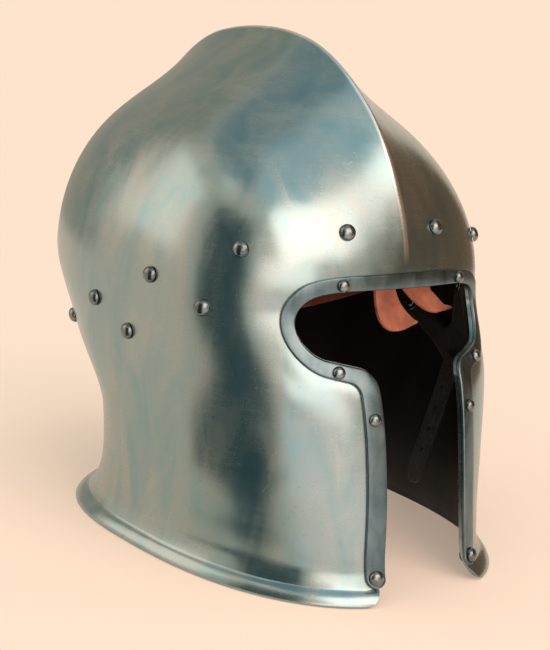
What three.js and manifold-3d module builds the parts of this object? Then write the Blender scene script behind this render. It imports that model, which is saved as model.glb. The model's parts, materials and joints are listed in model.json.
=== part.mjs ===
// Barbute: an open-faced sallet-like helmet raised from one steel plate, with a keeled comb, a T-shaped
// face opening edged by an applied band, a rolled rim, a riveted leather liner and a chin strap.
// Millimetres, +Z up, the face towards -Y, the wearer's left towards +X, the rim resting on z = 0.
import * as THREE from 'three';
import { mergeVertices } from 'three/addons/utils/BufferGeometryUtils.js';
import Module from 'manifold-3d';

const wasm = await Module();
wasm.setup();

// Helmet shell
const TEMPLE_HALF_WIDTH = 105;
const TEMPLE_HEIGHT = 146;
const BROW_REACH = 97.5;
const NAPE_REACH = 149;
const CROWN_RISE = 106;
const CROWN_SET_BACK = 27;
const SHELL_THICKNESS = 1.8;

// Comb
const COMB_HEIGHT = 26.5;
const COMB_HALF_WIDTH = 59;

// Rim
const FLARE_REACH = 6;
const FLARE_HEIGHT = 18;
const ROLL_RADIUS = 4.2;
const ROLL_DEPTH = 3.2;

// Face opening, measured along the plate from the middle of the face
const BROW_EDGE_HEIGHT = 153;
const BROW_FLAT_GIRTH = 18;
const LOBE_GIRTH = 52;
const LOBE_HEIGHT = 134;
const LOBE_RADIUS = 14.2;
const CHEEK_TOP_GIRTH = 29;
const CHEEK_WAIST_GIRTH = 27;
const CHEEK_FOOT_GIRTH = 29.2;
const CHEEK_WAIST_HEIGHT = 58;
const CHEEK_FOOT_HEIGHT = 25;
const CHEEK_CORNER_RADIUS = 10;
const FOOT_CORNER_GIRTH = 43;
const LOBE_SHOULDER = 70;
const UNDER_EYE_FALL = 14;
const LOBE_STEPS = 10;

// Face band
const BAND_WIDTH = 9.6;
const CHEEK_BAND_WIDTH = 11.2;
const BAND_THICKNESS = 1.8;
const BAND_EDGE_ROUND = 0.7;
const BAND_CORNER_RADIUS = 4;
const BAND_END_RADIUS = 5.4;
const BAND_END_DROP = 4.2;

// Rivets
const LINER_RIVET_RADIUS = 4.4;
const BAND_RIVET_RADIUS = 3.4;
const FOOT_RIVET_RADIUS = 4;
const SHANK_RADIUS = 1.8;
const TAIL_RADIUS = 3.2;
const TAIL_RISE = 1.2;
const SEAT_GAP = 0.3;
const TAIL_GAP = 0.9;
const WASHER_RADIUS = 5.2;
const WASHER_THICKNESS = 1;
const WASHER_GAP = 1.2;

// Places of the band rivets along the plate
const BROW_RIVET_GIRTH = 41.5;
const EYE_RIVET_GIRTH = 50;
const CHEEK_RIVET_HEIGHT = 92.4;
const FOOT_RIVET_HEIGHT = 12.6;

// Liner
const LINER_FRONT_RISE = 34;
const LINER_SLOPE_SHARE = 0.458;
const LINER_LOWER_MARGIN = 9;
const LINER_UPPER_MARGIN = 14;
const LINER_THICKNESS = 2;
const LINER_GAP = 0.6;
const LINER_RIVET_PITCH = 55.8;
const RIGHT_FIRST_ARC = 35.6;
const LEFT_FIRST_ARC = 26.6;
const LINER_RIVETS_PER_SIDE = 6;
const TONGUE_THICKNESS = 1.8;
const TONGUE_LAP = 4;
const TONGUE_BASE_WIDTH = 58;
const TONGUE_TIP_WIDTH = 12;
const TONGUE_SAG = 14;
const TONGUE_COUNT = 8;
const CROWN_GATHER_RADIUS = 20;
const LOOSE_BASE_WIDTH = 17;
const LOOSE_DROP = 32;
const LOOSE_DEPTH = 26;
const LOOSE_RIGHT_ARC = -8;
const LOOSE_LEFT_ARC = 42;

// Chin strap: a riveted yoke on each side, the strap that hangs from it and the buckle
const STRAP_RIVET_DROP = 26;
const STRAP_RIVET_ARC = 75;
const STRAP_GIRTH = 116;
const STRAP_WIDTH = 18;
const STRAP_THICKNESS = 2.2;
const STRAP_LEAN = 13;
const YOKE_GAP = 0.8;
const YOKE_FOOT_HEIGHT = 86;
const STRAP_TOP_HEIGHT = 99;
const BUCKLE_STRAP_LENGTH = 60;
const BILLET_LENGTH = 78;
const BILLET_POINT = 14;
const BILLET_FIRST_HOLE = 21;
const BILLET_HOLE_RADIUS = 1.6;
const BILLET_HOLE_PITCH = 13;
const BILLET_HOLES = 4;
const BUCKLE_WIDTH = 28;
const BUCKLE_LENGTH = 21;
const BUCKLE_WIRE_RADIUS = 1.5;
const BUCKLE_CORNER_RADIUS = 3;
const PRONG_THICKNESS = 1.4;
const PRONG_WIDTH = 3.4;
const PRONG_SLOT = 4.2;
const KEEPER_HEIGHT = 8;
const KEEPER_THICKNESS = 1.6;
const KEEPER_DROP = 42;

// Counts of facets and of repeated stations
const QUADRANT_COLUMNS = 12;
const COLUMN_CROWDING = 1.4;
const CROWN_ROWS = 10;
const ROLL_STEPS = 6;
const RIVET_SIDES = 8;
const DRILL_SIDES = 6;
const GIRTH_STEPS = 72;
const END_STEPS = 5;
const BAND_FOOT_STEPS = 3;
const WASHER_SIDES = 8;
const SLOPE_STEP = 0.004;
const OVERRUN = 14;
const SHEET_STEP = 9;
const WIRE_SIDES = 8;
const LINE_PASSES = 8;

// Half-widths, fronts and backs of the wall as shares of the temple's, by shares of its height
const WALL_WIDTH_SHARES = [[0, 0.884], [0.2, 0.873], [0.42, 0.908], [0.7, 0.973], [1, 1]];
const WALL_FRONT_SHARES = [[0, 1.412], [0.2, 1.37], [0.42, 1.316], [0.7, 1.217], [1, 1]];
const WALL_BACK_SHARES = [[0, 0.665], [0.2, 0.561], [0.42, 0.54], [0.7, 0.782], [1, 1]];
// Comb height shares by degrees round the skull from the brow (0) over the crown (90) to the nape (180)
const COMB_SHARES = [
  [5, 0], [30, 0.2], [60, 0.6], [90, 0.94], [120, 1], [150, 0.49], [190, 0.05], [230, 0],
];
const COMB_SHARPNESS = 2.33;
// Rows of the wall as shares of the way from the rim to the temples
const WALL_LEVEL_SHARES = [0.03, 0.07, 0.14, 0.24, 0.35, 0.46, 0.56, 0.65, 0.73, 0.81, 0.885, 0.95, 1];
// Stations up a liner tongue as shares of its length, and across it as shares of its half-width
const TONGUE_STATION_SHARES = [0, 0.1, 0.22, 0.36, 0.5, 0.64, 0.78, 0.9, 1];
const TONGUE_ACROSS_SHARES = [-1, -0.5, 0, 0.5, 1];
const TONGUE_TAPER = 1.3;
// The rolled rim's flat seat, and the place of a brow rivet across its band
const ROLL_SEAT_SHARE = 0.9;
const BROW_RIVET_SHARE = 0.36;
// A rivet head's rise by its radius, and the radius and height of its shoulder
const HEAD_RISE_SHARE = 0.78;
const HEAD_SHOULDER_SHARES = [0.62, 0.74];
// Edges of the two tongues that hang loose behind the brow: the left and right edge of each station,
// as shares of the lobe's girth, of the opening's height under the brow and of the room behind the plate
const LOOSE_TONGUE_SHARES = {
  right: [
    [[-0.16, -0.5, 0.6], [0.2, -0.5, 0.6]],
    [[-0.054, 0.17, 0.73], [0.303, 0.168, 0.73]],
    [[-0.015, 0.384, 0.75], [0.365, 0.289, 0.75]],
    [[0.009, 0.594, 0.77], [0.426, 0.397, 0.77]],
    [[0.116, 0.759, 0.79], [0.55, 0.558, 0.79]],
    [[0.311, 0.829, 0.83], [0.705, 0.694, 0.83]],
    [[0.835, 0.789, 0.9], [0.875, 0.764, 0.9]],
  ],
  left: [
    [[0.5, -0.5, 0.58], [0.93, -0.5, 0.55]],
    [[0.392, 0.125, 0.65], [0.913, 0.205, 0.58]],
    [[0.512, 0.273, 0.65], [0.954, 0.27, 0.54]],
    [[0.628, 0.385, 0.63], [1.048, 0.361, 0.52]],
    [[0.887, 0.564, 0.6], [1.208, 0.499, 0.5]],
    [[1.129, 0.601, 0.54], [1.399, 0.564, 0.48]],
    [[1.6, 0.66, 0.46], [1.62, 0.63, 0.46]],
  ],
};
// Exponents of the rounded-box sections and of the crown's dome
const FRONT_SQUARENESS = 0.81;
const BACK_SQUARENESS = 0.81;
const CROWN_WIDTH_POWER = 0.933;
const CROWN_FRONT_POWER = 0.873;
const CROWN_BACK_POWER = 1;

const helmet = new THREE.Group();

function add(name, geometry, material, parent = helmet) {
  const mesh = new THREE.Mesh(geometry, material);
  mesh.name = name;
  parent.add(mesh);
  return mesh;
}

const finish = (name, color, roughness, metalness) => (
  new THREE.MeshStandardMaterial({ name, color, roughness, metalness }));
const steel = finish('steel', 0x8d9c9a, 0.32, 1);
const bandSteel = finish('band', 0x74827f, 0.36, 1);
const rivetSteel = finish('rivet', 0x6c7472, 0.24, 1);
const leather = finish('leather', 0xb4613f, 0.8, 0);
const strapLeather = finish('strap', 0x2a211c, 0.6, 0);

// Smooth curve through a table of pairs that never overshoots them
function smoothTable(table, at) {
  if (at <= table[0][0]) return table[0][1];
  const last = table.length - 1;
  if (at >= table[last][0]) return table[last][1];
  const secant = (k) => (table[k + 1][1] - table[k][1]) / (table[k + 1][0] - table[k][0]);
  const slope = (k) => {
    if (k === last) return 0;
    if (k === 0) return secant(0);
    const before = secant(k - 1);
    const after = secant(k);
    return before * after <= 0 ? 0 : (2 * before * after) / (before + after);
  };
  const k = table.findIndex((pair) => pair[0] > at) - 1;
  const span = table[k + 1][0] - table[k][0];
  const t = (at - table[k][0]) / span;
  const rise = table[k + 1][1] - table[k][1];
  return table[k][1] + rise * t * t * (3 - 2 * t)
    + span * t * (1 - t) * (slope(k) * (1 - t) - slope(k + 1) * t);
}

// The skull's surface without its comb. angle runs from the middle of the face (0) round to the nape
// (PI), negative on the wearer's right; level runs from the rim (0) to the temples (1) and over the
// crown (2); inset is the depth under the outer face; bulge is added outwards.
function domePoint(angle, level, inset = 0, bulge = 0) {
  let halfWidth = TEMPLE_HALF_WIDTH;
  let front = BROW_REACH;
  let back = NAPE_REACH;
  let height = level * TEMPLE_HEIGHT;
  let setBack = 0;
  if (level <= 1) {
    const flare = FLARE_REACH * Math.max(0, 1 - Math.max(0, height) / FLARE_HEIGHT) ** 2;
    halfWidth = halfWidth * smoothTable(WALL_WIDTH_SHARES, level) + flare + bulge - inset;
    front = front * smoothTable(WALL_FRONT_SHARES, level) + flare + bulge - inset;
    back = back * smoothTable(WALL_BACK_SHARES, level) + flare + bulge - inset;
  } else {
    const rise = Math.min(1, level - 1) * Math.PI / 2;
    const narrowing = Math.max(0, Math.cos(rise));
    halfWidth = (halfWidth - inset) * narrowing ** CROWN_WIDTH_POWER;
    front = (front - inset) * narrowing ** CROWN_FRONT_POWER;
    back = (back - inset) * narrowing ** CROWN_BACK_POWER;
    height = TEMPLE_HEIGHT + (CROWN_RISE - inset) * Math.sin(rise);
    setBack = CROWN_SET_BACK * Math.sin(rise) ** 2;
  }
  const cos = Math.cos(angle);
  const sin = Math.sin(angle);
  const power = cos >= 0 ? FRONT_SQUARENESS : BACK_SQUARENESS;
  const x = halfWidth * Math.sign(sin) * Math.abs(sin) ** power;
  const reach = cos >= 0 ? front : back;
  const y = setBack - Math.sign(cos) * reach * Math.abs(cos) ** power;
  return new THREE.Vector3(x, y, height);
}

function skullPoint(angle, level, inset = 0, bulge = 0) {
  return raiseComb(domePoint(angle, level, inset, bulge), inset);
}

// The comb lifts the skull away from the ear line, most along the middle
function raiseComb(point, inset) {
  const up = point.z - TEMPLE_HEIGHT;
  const forward = -point.y;
  let around = THREE.MathUtils.radToDeg(Math.atan2(up, forward));
  if (around < -90) around += 360;
  const spread = Math.max(0, 1 - Math.abs(point.x) / (COMB_HALF_WIDTH - inset));
  const lift = COMB_HEIGHT * smoothTable(COMB_SHARES, around) * spread ** COMB_SHARPNESS;
  const distance = Math.hypot(up, forward);
  point.y -= (lift * forward) / distance;
  point.z += (lift * up) / distance;
  return point;
}

function levelAt(height) {
  if (height <= TEMPLE_HEIGHT) return height / TEMPLE_HEIGHT;
  return 1 + Math.asin((height - TEMPLE_HEIGHT) / CROWN_RISE) / (Math.PI / 2);
}

// The angle at which a curve from the face towards the nape has grown to the target length
function angleAfter(pointAt, target) {
  let walked = 0;
  let before = pointAt(0);
  for (let k = 1; k <= GIRTH_STEPS; k += 1) {
    const here = pointAt((k / GIRTH_STEPS) * Math.PI);
    const step = here.distanceTo(before);
    if (walked + step >= Math.abs(target)) {
      const part = (Math.abs(target) - walked) / step;
      return Math.sign(target) * ((k - 1 + part) / GIRTH_STEPS) * Math.PI;
    }
    walked += step;
    before = here;
  }
  return Math.sign(target) * Math.PI;
}

const angleAtGirth = (girth, height) => angleAfter((angle) => skullPoint(angle, levelAt(height)), girth);

// A place on the plate given by its girth from the middle of the face and its height
function platePoint(girth, height, inset = 0) {
  return skullPoint(angleAtGirth(girth, height), levelAt(height), inset);
}

function outwardNormal(angle, level) {
  const round = skullPoint(angle + SLOPE_STEP, level).sub(skullPoint(angle - SLOPE_STEP, level));
  const rise = skullPoint(angle, level + SLOPE_STEP).sub(skullPoint(angle, level - SLOPE_STEP));
  return round.cross(rise).normalize();
}

// Closed solid through rings of points, with a fan to a middle point at both ends or joined into a loop.
// A ring round a thin sheet turns back at the point backFrom: from there the faces are split along their
// other diagonal, so that both sides of the sheet bend alike, and its ends are closed from side to side.
function loft(rings, { loop = false, firstMiddle = null, lastMiddle = null, backFrom = Infinity } = {}) {
  const count = rings[0].length;
  const points = rings.flat();
  const faces = [];
  const pairs = loop ? rings.length : rings.length - 1;
  for (let r = 0; r < pairs; r += 1) {
    const low = r * count;
    const high = ((r + 1) % rings.length) * count;
    for (let k = 0; k < count; k += 1) {
      const next = (k + 1) % count;
      const [a, b, c, d] = [low + k, low + next, high + next, high + k];
      faces.push(...(k < backFrom ? [[a, b, c], [a, c, d]] : [[a, b, d], [b, c, d]]));
    }
  }
  if (backFrom < count) {
    const top = (rings.length - 1) * count;
    for (let k = 0; k < backFrom - 1; k += 1) {
      const [a, b, c, d] = [k, k + 1, count - 2 - k, count - 1 - k];
      faces.push([a, c, b], [a, d, c], [top + a, top + b, top + c], [top + a, top + c, top + d]);
    }
  } else if (!loop) {
    const middle = (ring) => ring.reduce((sum, p) => sum.add(p), new THREE.Vector3()).divideScalar(count);
    points.push(firstMiddle ?? middle(rings[0]), lastMiddle ?? middle(rings[rings.length - 1]));
    const top = (rings.length - 1) * count;
    for (let k = 0; k < count; k += 1) {
      const next = (k + 1) % count;
      faces.push([points.length - 2, next, k], [points.length - 1, top + k, top + next]);
    }
  }
  return solidFrom(points, faces);
}

function solidFrom(points, faces) {
  const volume = faces.reduce((sum, [a, b, c]) => {
    const cross = new THREE.Vector3().crossVectors(points[b], points[c]);
    return sum + points[a].dot(cross);
  }, 0);
  const index = faces.flatMap(([a, b, c]) => (volume > 0 ? [a, b, c] : [a, c, b]));
  const geometry = new THREE.BufferGeometry();
  geometry.setAttribute('position', new THREE.Float32BufferAttribute(points.flatMap((p) => p.toArray()), 3));
  geometry.setIndex(index);
  return geometry;
}

// The same shape with each corner stored once
function welded(geometry) {
  const plain = geometry.clone();
  plain.deleteAttribute('normal');
  plain.deleteAttribute('uv');
  return mergeVertices(plain);
}

function toManifold(geometry) {
  return new wasm.Manifold(new wasm.Mesh({
    numProp: 3,
    vertProperties: new Float32Array(geometry.attributes.position.array),
    triVerts: new Uint32Array(geometry.index.array),
  }));
}

function fromManifold(solid) {
  const mesh = solid.getMesh();
  const geometry = new THREE.BufferGeometry();
  geometry.setAttribute('position', new THREE.Float32BufferAttribute(mesh.vertProperties, 3));
  geometry.setIndex(new THREE.Uint32BufferAttribute(mesh.triVerts, 1));
  return geometry;
}

function cut(geometry, cutters) {
  let solid = toManifold(geometry);
  cutters.forEach((cutter) => {
    solid = solid.subtract(toManifold(cutter));
  });
  return fromManifold(solid);
}

// Half of the face opening's edge, or of the line that lies grow outside it, from the middle of the
// brow to the foot, as points of girth and height
function faceLine(grow, cheekGrow, cornerRadius) {
  const radius = LOBE_RADIUS + grow;
  const brow = BROW_EDGE_HEIGHT + grow;
  const shoulder = THREE.MathUtils.degToRad(LOBE_SHOULDER);
  const fall = THREE.MathUtils.degToRad(UNDER_EYE_FALL);
  const middle = new THREE.Vector2(0, brow);
  const flat = new THREE.Vector2(BROW_FLAT_GIRTH, brow);
  const turn = new THREE.Vector2(radius * Math.cos(shoulder), radius * Math.sin(shoulder));
  turn.add(new THREE.Vector2(LOBE_GIRTH, LOBE_HEIGHT));
  const bend = new THREE.Vector2(turn.x - (brow - turn.y) * Math.tan(shoulder), brow);
  const lobeEnd = -Math.PI / 2 - fall;
  const lobe = new THREE.EllipseCurve(LOBE_GIRTH, LOBE_HEIGHT, radius, radius, shoulder, lobeEnd, true);
  const under = lobe.getPoint(1);
  const cheek = CHEEK_TOP_GIRTH + cheekGrow;
  const run = cornerRadius * Math.tan((Math.PI / 2 - fall) / 2);
  const cornerTop = under.y - (under.x - cheek) * Math.tan(fall);
  const corner = new THREE.EllipseCurve(cheek + cornerRadius, cornerTop - run, cornerRadius, cornerRadius,
    Math.PI / 2 + fall, Math.PI, false);
  const waist = new THREE.Vector2(CHEEK_WAIST_GIRTH + cheekGrow, CHEEK_WAIST_HEIGHT);
  const foot = new THREE.Vector2(CHEEK_FOOT_GIRTH + cheekGrow, CHEEK_FOOT_HEIGHT);
  const pieces = [
    [new THREE.LineCurve(middle, flat), 2],
    [new THREE.QuadraticBezierCurve(flat, bend, turn), 4],
    [lobe, LOBE_STEPS],
    [new THREE.LineCurve(under, corner.getPoint(0)), 2],
    [corner, 4],
    [new THREE.QuadraticBezierCurve(corner.getPoint(1), waist, foot), 10],
  ];
  return [middle, ...pieces.flatMap(([curve, steps]) => curve.getPoints(steps).slice(1))];
}

const mirrored = (point) => new THREE.Vector2(-point.x, point.y);

// The T-shaped opening as a solid whose walls stand square to the plate
function openingCutter() {
  const side = faceLine(0, 0, CHEEK_CORNER_RADIUS);
  const foot = side[side.length - 1];
  const toe = new THREE.Vector2(FOOT_CORNER_GIRTH, 0);
  const below = new THREE.Vector2(FOOT_CORNER_GIRTH, -OVERRUN);
  const heel = new THREE.Vector2(foot.x, toe.y + ROLL_RADIUS);
  const footCurve = new THREE.QuadraticBezierCurve(foot, heel, toe);
  const half = [...side, ...footCurve.getPoints(6).slice(1), below];
  const outline = [...half, ...half.slice(1).reverse().map(mirrored)].reverse();
  const triangles = THREE.ShapeUtils.triangulateShape(outline, []);
  const points = [-OVERRUN, OVERRUN].flatMap((inset) => outline.map((p) => platePoint(p.x, p.y, inset)));
  const count = outline.length;
  const faces = triangles.flatMap(([a, b, c]) => [[a, b, c], [a + count, c + count, b + count]]);
  outline.forEach((_, k) => {
    const next = (k + 1) % count;
    faces.push([k, k + count, next], [next, k + count, next + count]);
  });
  return solidFrom(points, faces);
}

function skullAngles() {
  const quarter = Math.PI / 2;
  const columns = Array.from({ length: QUADRANT_COLUMNS }, (_, k) => k / QUADRANT_COLUMNS);
  const shares = columns.map((share) => share ** COLUMN_CROWDING);
  const front = shares.map((share) => share * quarter);
  const back = shares.map((share) => Math.PI - share * quarter).reverse();
  const half = [...front, quarter, ...back];
  return [...half, ...half.slice(1, -1).reverse().map((angle) => -angle)];
}

// Heights and bulges up the rolled rim, then the plain wall
function rimStations() {
  const middle = ROLL_RADIUS * ROLL_SEAT_SHARE;
  const start = -Math.asin(ROLL_SEAT_SHARE);
  const stations = Array.from({ length: ROLL_STEPS + 1 }, (_, k) => {
    const turn = start + (k / ROLL_STEPS) * (Math.PI / 2 - start);
    return { height: middle + ROLL_RADIUS * Math.sin(turn), bulge: ROLL_DEPTH * Math.cos(turn) };
  });
  stations[0].height = 0;
  return stations;
}

const rimTop = () => ROLL_RADIUS * (1 + ROLL_SEAT_SHARE);

function skullShell() {
  const angles = skullAngles();
  const ring = (level, inset, bulge = 0) => angles.map((angle) => skullPoint(angle, level, inset, bulge));
  const wallTop = rimTop() / TEMPLE_HEIGHT;
  const wallLevels = WALL_LEVEL_SHARES.map((share) => wallTop + share * (1 - wallTop));
  const crownLevels = Array.from({ length: CROWN_ROWS }, (_, k) => 1 + (k + 1) / (CROWN_ROWS + 0.5));
  const pole = (inset) => skullPoint(0, 2, inset);
  const inside = [0, wallTop, ...wallLevels, ...crownLevels].map((level) => ring(level, SHELL_THICKNESS));
  const rim = rimStations().map((station) => ring(station.height / TEMPLE_HEIGHT, 0, station.bulge));
  const outside = [...wallLevels, ...crownLevels].map((level) => ring(level, 0));
  const rings = [...inside.reverse(), ...rim, ...outside];
  return loft(rings, { firstMiddle: pole(SHELL_THICKNESS), lastMiddle: pole(0) });
}

// The applied band round the face opening: a strip between the opening's edge and a line outside it
function faceBand() {
  const edge = faceLine(0, 0, CHEEK_CORNER_RADIUS);
  const outer = faceLine(BAND_WIDTH, CHEEK_BAND_WIDTH, BAND_CORNER_RADIUS);
  const end = footRivetPlace();
  const toEnd = [[edge, -BAND_END_RADIUS], [outer, BAND_END_RADIUS]];
  toEnd.forEach(([line, across]) => {
    const from = line[line.length - 1];
    const run = new THREE.LineCurve(from, new THREE.Vector2(end.x + across, end.y));
    line.push(...run.getPoints(BAND_FOOT_STEPS).slice(1, -1));
  });
  const turns = Array.from({ length: END_STEPS }, (_, k) => ((k / (END_STEPS - 0.5)) * Math.PI) / 2);
  turns.forEach((turn) => {
    const across = BAND_END_RADIUS * Math.cos(turn);
    const down = end.y - BAND_END_DROP * Math.sin(turn);
    edge.push(new THREE.Vector2(end.x - across, down));
    outer.push(new THREE.Vector2(end.x + across, down));
  });
  const half = edge.map((inner, k) => [inner, outer[k]]);
  const other = half.slice(1).map((pair) => pair.map(mirrored)).reverse();
  const under = -SEAT_GAP;
  const top = under - BAND_THICKNESS;
  const rounded = top + BAND_EDGE_ROUND;
  const rings = [...other, ...half].map(([inner, outside]) => {
    const width = inner.distanceTo(outside);
    const at = (share, inset) => {
      const p = inner.clone().lerp(outside, share);
      return platePoint(p.x, p.y, inset);
    };
    const round = BAND_EDGE_ROUND / width;
    return [
      at(0, under), at(0, rounded), at(round, top), at(1 - round, top), at(1, rounded), at(1, under),
      at(0.5, under),
    ];
  });
  return loft(rings);
}

function footRivetPlace() {
  const middle = CHEEK_FOOT_GIRTH + CHEEK_BAND_WIDTH / 2;
  return new THREE.Vector2(middle, FOOT_RIVET_HEIGHT);
}

// A point on the tilted line of the liner rivets, dropped below it, for an angle round the skull
function linerPoint(angle, drop, inset = 0) {
  const front = BROW_EDGE_HEIGHT + LINER_FRONT_RISE;
  let height = front;
  for (let pass = 0; pass < LINE_PASSES; pass += 1) {
    const behind = skullPoint(angle, levelAt(height)).y + BROW_REACH;
    height = front - LINER_SLOPE_SHARE * behind - drop;
  }
  return { level: levelAt(height), point: skullPoint(angle, levelAt(height), inset) };
}

const angleAlongLiner = (arc) => angleAfter((angle) => linerPoint(angle, 0).point, arc);

// A profile of radii and heights turned about Z
function turned(profile, count) {
  const points = profile.map(([radius, height]) => new THREE.Vector2(radius, height));
  return new THREE.LatheGeometry(points, count).rotateX(Math.PI / 2);
}

// A rivet: a domed head, a shank through the plates and a peened tail. grip is the depth of the plates
// and gaps from under the head to under the tail.
function rivetShape(headRadius, grip) {
  const rise = headRadius * HEAD_RISE_SHARE;
  const [shoulderRadius, shoulderRise] = HEAD_SHOULDER_SHARES;
  const profile = [
    [0, rise],
    [headRadius * shoulderRadius, rise * shoulderRise],
    [headRadius, 0],
    [SHANK_RADIUS, 0],
    [SHANK_RADIUS, -grip],
    [TAIL_RADIUS, -grip],
    [0, -grip - TAIL_RISE],
  ];
  return turned(profile.reverse(), RIVET_SIDES);
}

// How far the face at this inset lies under the skull's outer face, square to the plate
function depthUnder(angle, level, inset, normal) {
  return skullPoint(angle, level).sub(skullPoint(angle, level, inset)).dot(normal);
}

// How far a rivet's head stands over the skull's face, and how deep the inner leather or plate lies
function rivetDepths({ angle, level, outerInset, innerInset }) {
  const normal = outwardNormal(angle, level);
  const lift = SEAT_GAP - depthUnder(angle, level, outerInset, normal);
  return { normal, lift, under: depthUnder(angle, level, innerInset, normal) };
}

function standOn(mesh, place, normal, lift) {
  mesh.quaternion.setFromUnitVectors(new THREE.Vector3(0, 0, 1), normal);
  mesh.position.copy(skullPoint(place.angle, place.level)).addScaledVector(normal, lift);
}

function addRivet(place) {
  const { normal, lift, under } = rivetDepths(place);
  const inside = place.washer ? WASHER_GAP + WASHER_THICKNESS + SEAT_GAP : TAIL_GAP;
  const mesh = add(place.name, rivetShape(place.headRadius, lift + under + inside), rivetSteel);
  standOn(mesh, place, normal, lift);
}

// The washer that spreads a rivet's tail over the leather
function addWasher(place) {
  const { normal, under } = rivetDepths(place);
  const bore = SHANK_RADIUS + SEAT_GAP;
  const face = [[bore, 0], [WASHER_RADIUS, 0]];
  const back = [[WASHER_RADIUS, WASHER_THICKNESS], [bore, WASHER_THICKNESS]];
  const mesh = add(place.washer, turned([...face, ...back, face[0]], WASHER_SIDES), rivetSteel);
  standOn(mesh, place, normal, -under - WASHER_GAP - WASHER_THICKNESS);
}

// Corner radius of a drilled hole whose flat sides clear the shank
const drillRadius = () => (SHANK_RADIUS + SEAT_GAP) / Math.cos(Math.PI / DRILL_SIDES);

function rivetDrill(place) {
  const radius = drillRadius();
  const shape = welded(new THREE.CylinderGeometry(radius, radius, OVERRUN * 2, DRILL_SIDES));
  const normal = outwardNormal(place.angle, place.level);
  shape.applyQuaternion(new THREE.Quaternion().setFromUnitVectors(new THREE.Vector3(0, 1, 0), normal));
  const centre = skullPoint(place.angle, place.level);
  return shape.translate(centre.x, centre.y, centre.z);
}

const sides = [['right', -1], ['left', 1]];

function bandRivetPlaces() {
  const edge = faceLine(BAND_WIDTH / 2, CHEEK_BAND_WIDTH / 2, CHEEK_CORNER_RADIUS);
  const nearest = (test) => edge.reduce((best, p) => (test(p) < test(best) ? p : best));
  const cheek = nearest((p) => Math.abs(p.y - CHEEK_RIVET_HEIGHT));
  const fall = Math.tan(THREE.MathUtils.degToRad(UNDER_EYE_FALL));
  const lobeFoot = LOBE_HEIGHT - LOBE_RADIUS - BAND_WIDTH / 2;
  const places = {
    brow: new THREE.Vector2(BROW_RIVET_GIRTH, BROW_EDGE_HEIGHT + BAND_WIDTH * BROW_RIVET_SHARE),
    eye: new THREE.Vector2(EYE_RIVET_GIRTH, lobeFoot + (EYE_RIVET_GIRTH - LOBE_GIRTH) * fall),
    cheek: new THREE.Vector2(cheek.x, CHEEK_RIVET_HEIGHT),
    foot: footRivetPlace(),
  };
  return sides.flatMap(([side, sign]) => Object.entries(places).map(([spot, p]) => ({
    name: `band_rivet_${spot}_${side}`,
    angle: angleAtGirth(sign * p.x, p.y),
    level: levelAt(p.y),
    headRadius: spot === 'foot' ? FOOT_RIVET_RADIUS : BAND_RIVET_RADIUS,
    outerInset: -SEAT_GAP - BAND_THICKNESS,
    innerInset: SHELL_THICKNESS,
  })));
}

const firstRivet = (sign) => (sign < 0 ? RIGHT_FIRST_ARC : LEFT_FIRST_ARC);

function linerRivetPlaces() {
  const innerInset = SHELL_THICKNESS + LINER_GAP + LINER_THICKNESS;
  return sides.flatMap(([side, sign]) => {
    const first = firstRivet(sign);
    return Array.from({ length: LINER_RIVETS_PER_SIDE }, (_, k) => {
      const angle = angleAlongLiner(sign * (first + k * LINER_RIVET_PITCH));
      const level = linerPoint(angle, 0).level;
      const name = `liner_rivet_${side}_${k + 1}`;
      const washer = `liner_washer_${side}_${k + 1}`;
      return { name, washer, angle, level, headRadius: LINER_RIVET_RADIUS, outerInset: 0, innerInset };
    });
  });
}

function linerBand() {
  const insets = [SHELL_THICKNESS + LINER_GAP, SHELL_THICKNESS + LINER_GAP + LINER_THICKNESS];
  const rings = skullAngles().map((angle) => {
    const at = (drop, inset) => linerPoint(angle, drop, inset).point;
    return [
      at(LINER_LOWER_MARGIN, insets[0]), at(0, insets[0]), at(-LINER_UPPER_MARGIN, insets[0]),
      at(-LINER_UPPER_MARGIN, insets[1]), at(0, insets[1]), at(LINER_LOWER_MARGIN, insets[1]),
    ];
  });
  return loft(rings, { loop: true });
}

// Inset of what lies against the inner face of the liner band
const linerFace = () => SHELL_THICKNESS + LINER_GAP + LINER_THICKNESS + SEAT_GAP;

// A liner tongue: a leaf of leather from the liner band up under the crown, where it is gathered
function linerTongue(middle) {
  const narrowing = (CROWN_GATHER_RADIUS / TEMPLE_HALF_WIDTH) ** (1 / CROWN_WIDTH_POWER);
  const crown = 1 + Math.acos(narrowing) / (Math.PI / 2);
  const levelOf = (angle, share) => {
    const foot = linerPoint(angle, TONGUE_LAP - LINER_UPPER_MARGIN).level;
    return foot + (crown - foot) * share;
  };
  const rings = TONGUE_STATION_SHARES.map((share) => {
    const level = levelOf(middle, share);
    const inset = linerFace() + LINER_GAP + SEAT_GAP + TONGUE_SAG * share * share;
    const [before, after] = [-SLOPE_STEP, SLOPE_STEP].map((step) => domePoint(middle + step, level, inset));
    const width = TONGUE_TIP_WIDTH + (TONGUE_BASE_WIDTH - TONGUE_TIP_WIDTH) * (1 - share) ** TONGUE_TAPER;
    const spread = (width * SLOPE_STEP) / before.distanceTo(after);
    const row = (depth) => TONGUE_ACROSS_SHARES.map((part) => {
      const angle = middle + part * spread;
      return domePoint(angle, levelOf(angle, share), inset + depth);
    });
    return [...row(0), ...row(TONGUE_THICKNESS).reverse()];
  });
  return loft(rings, { backFrom: TONGUE_ACROSS_SHARES.length });
}

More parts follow.
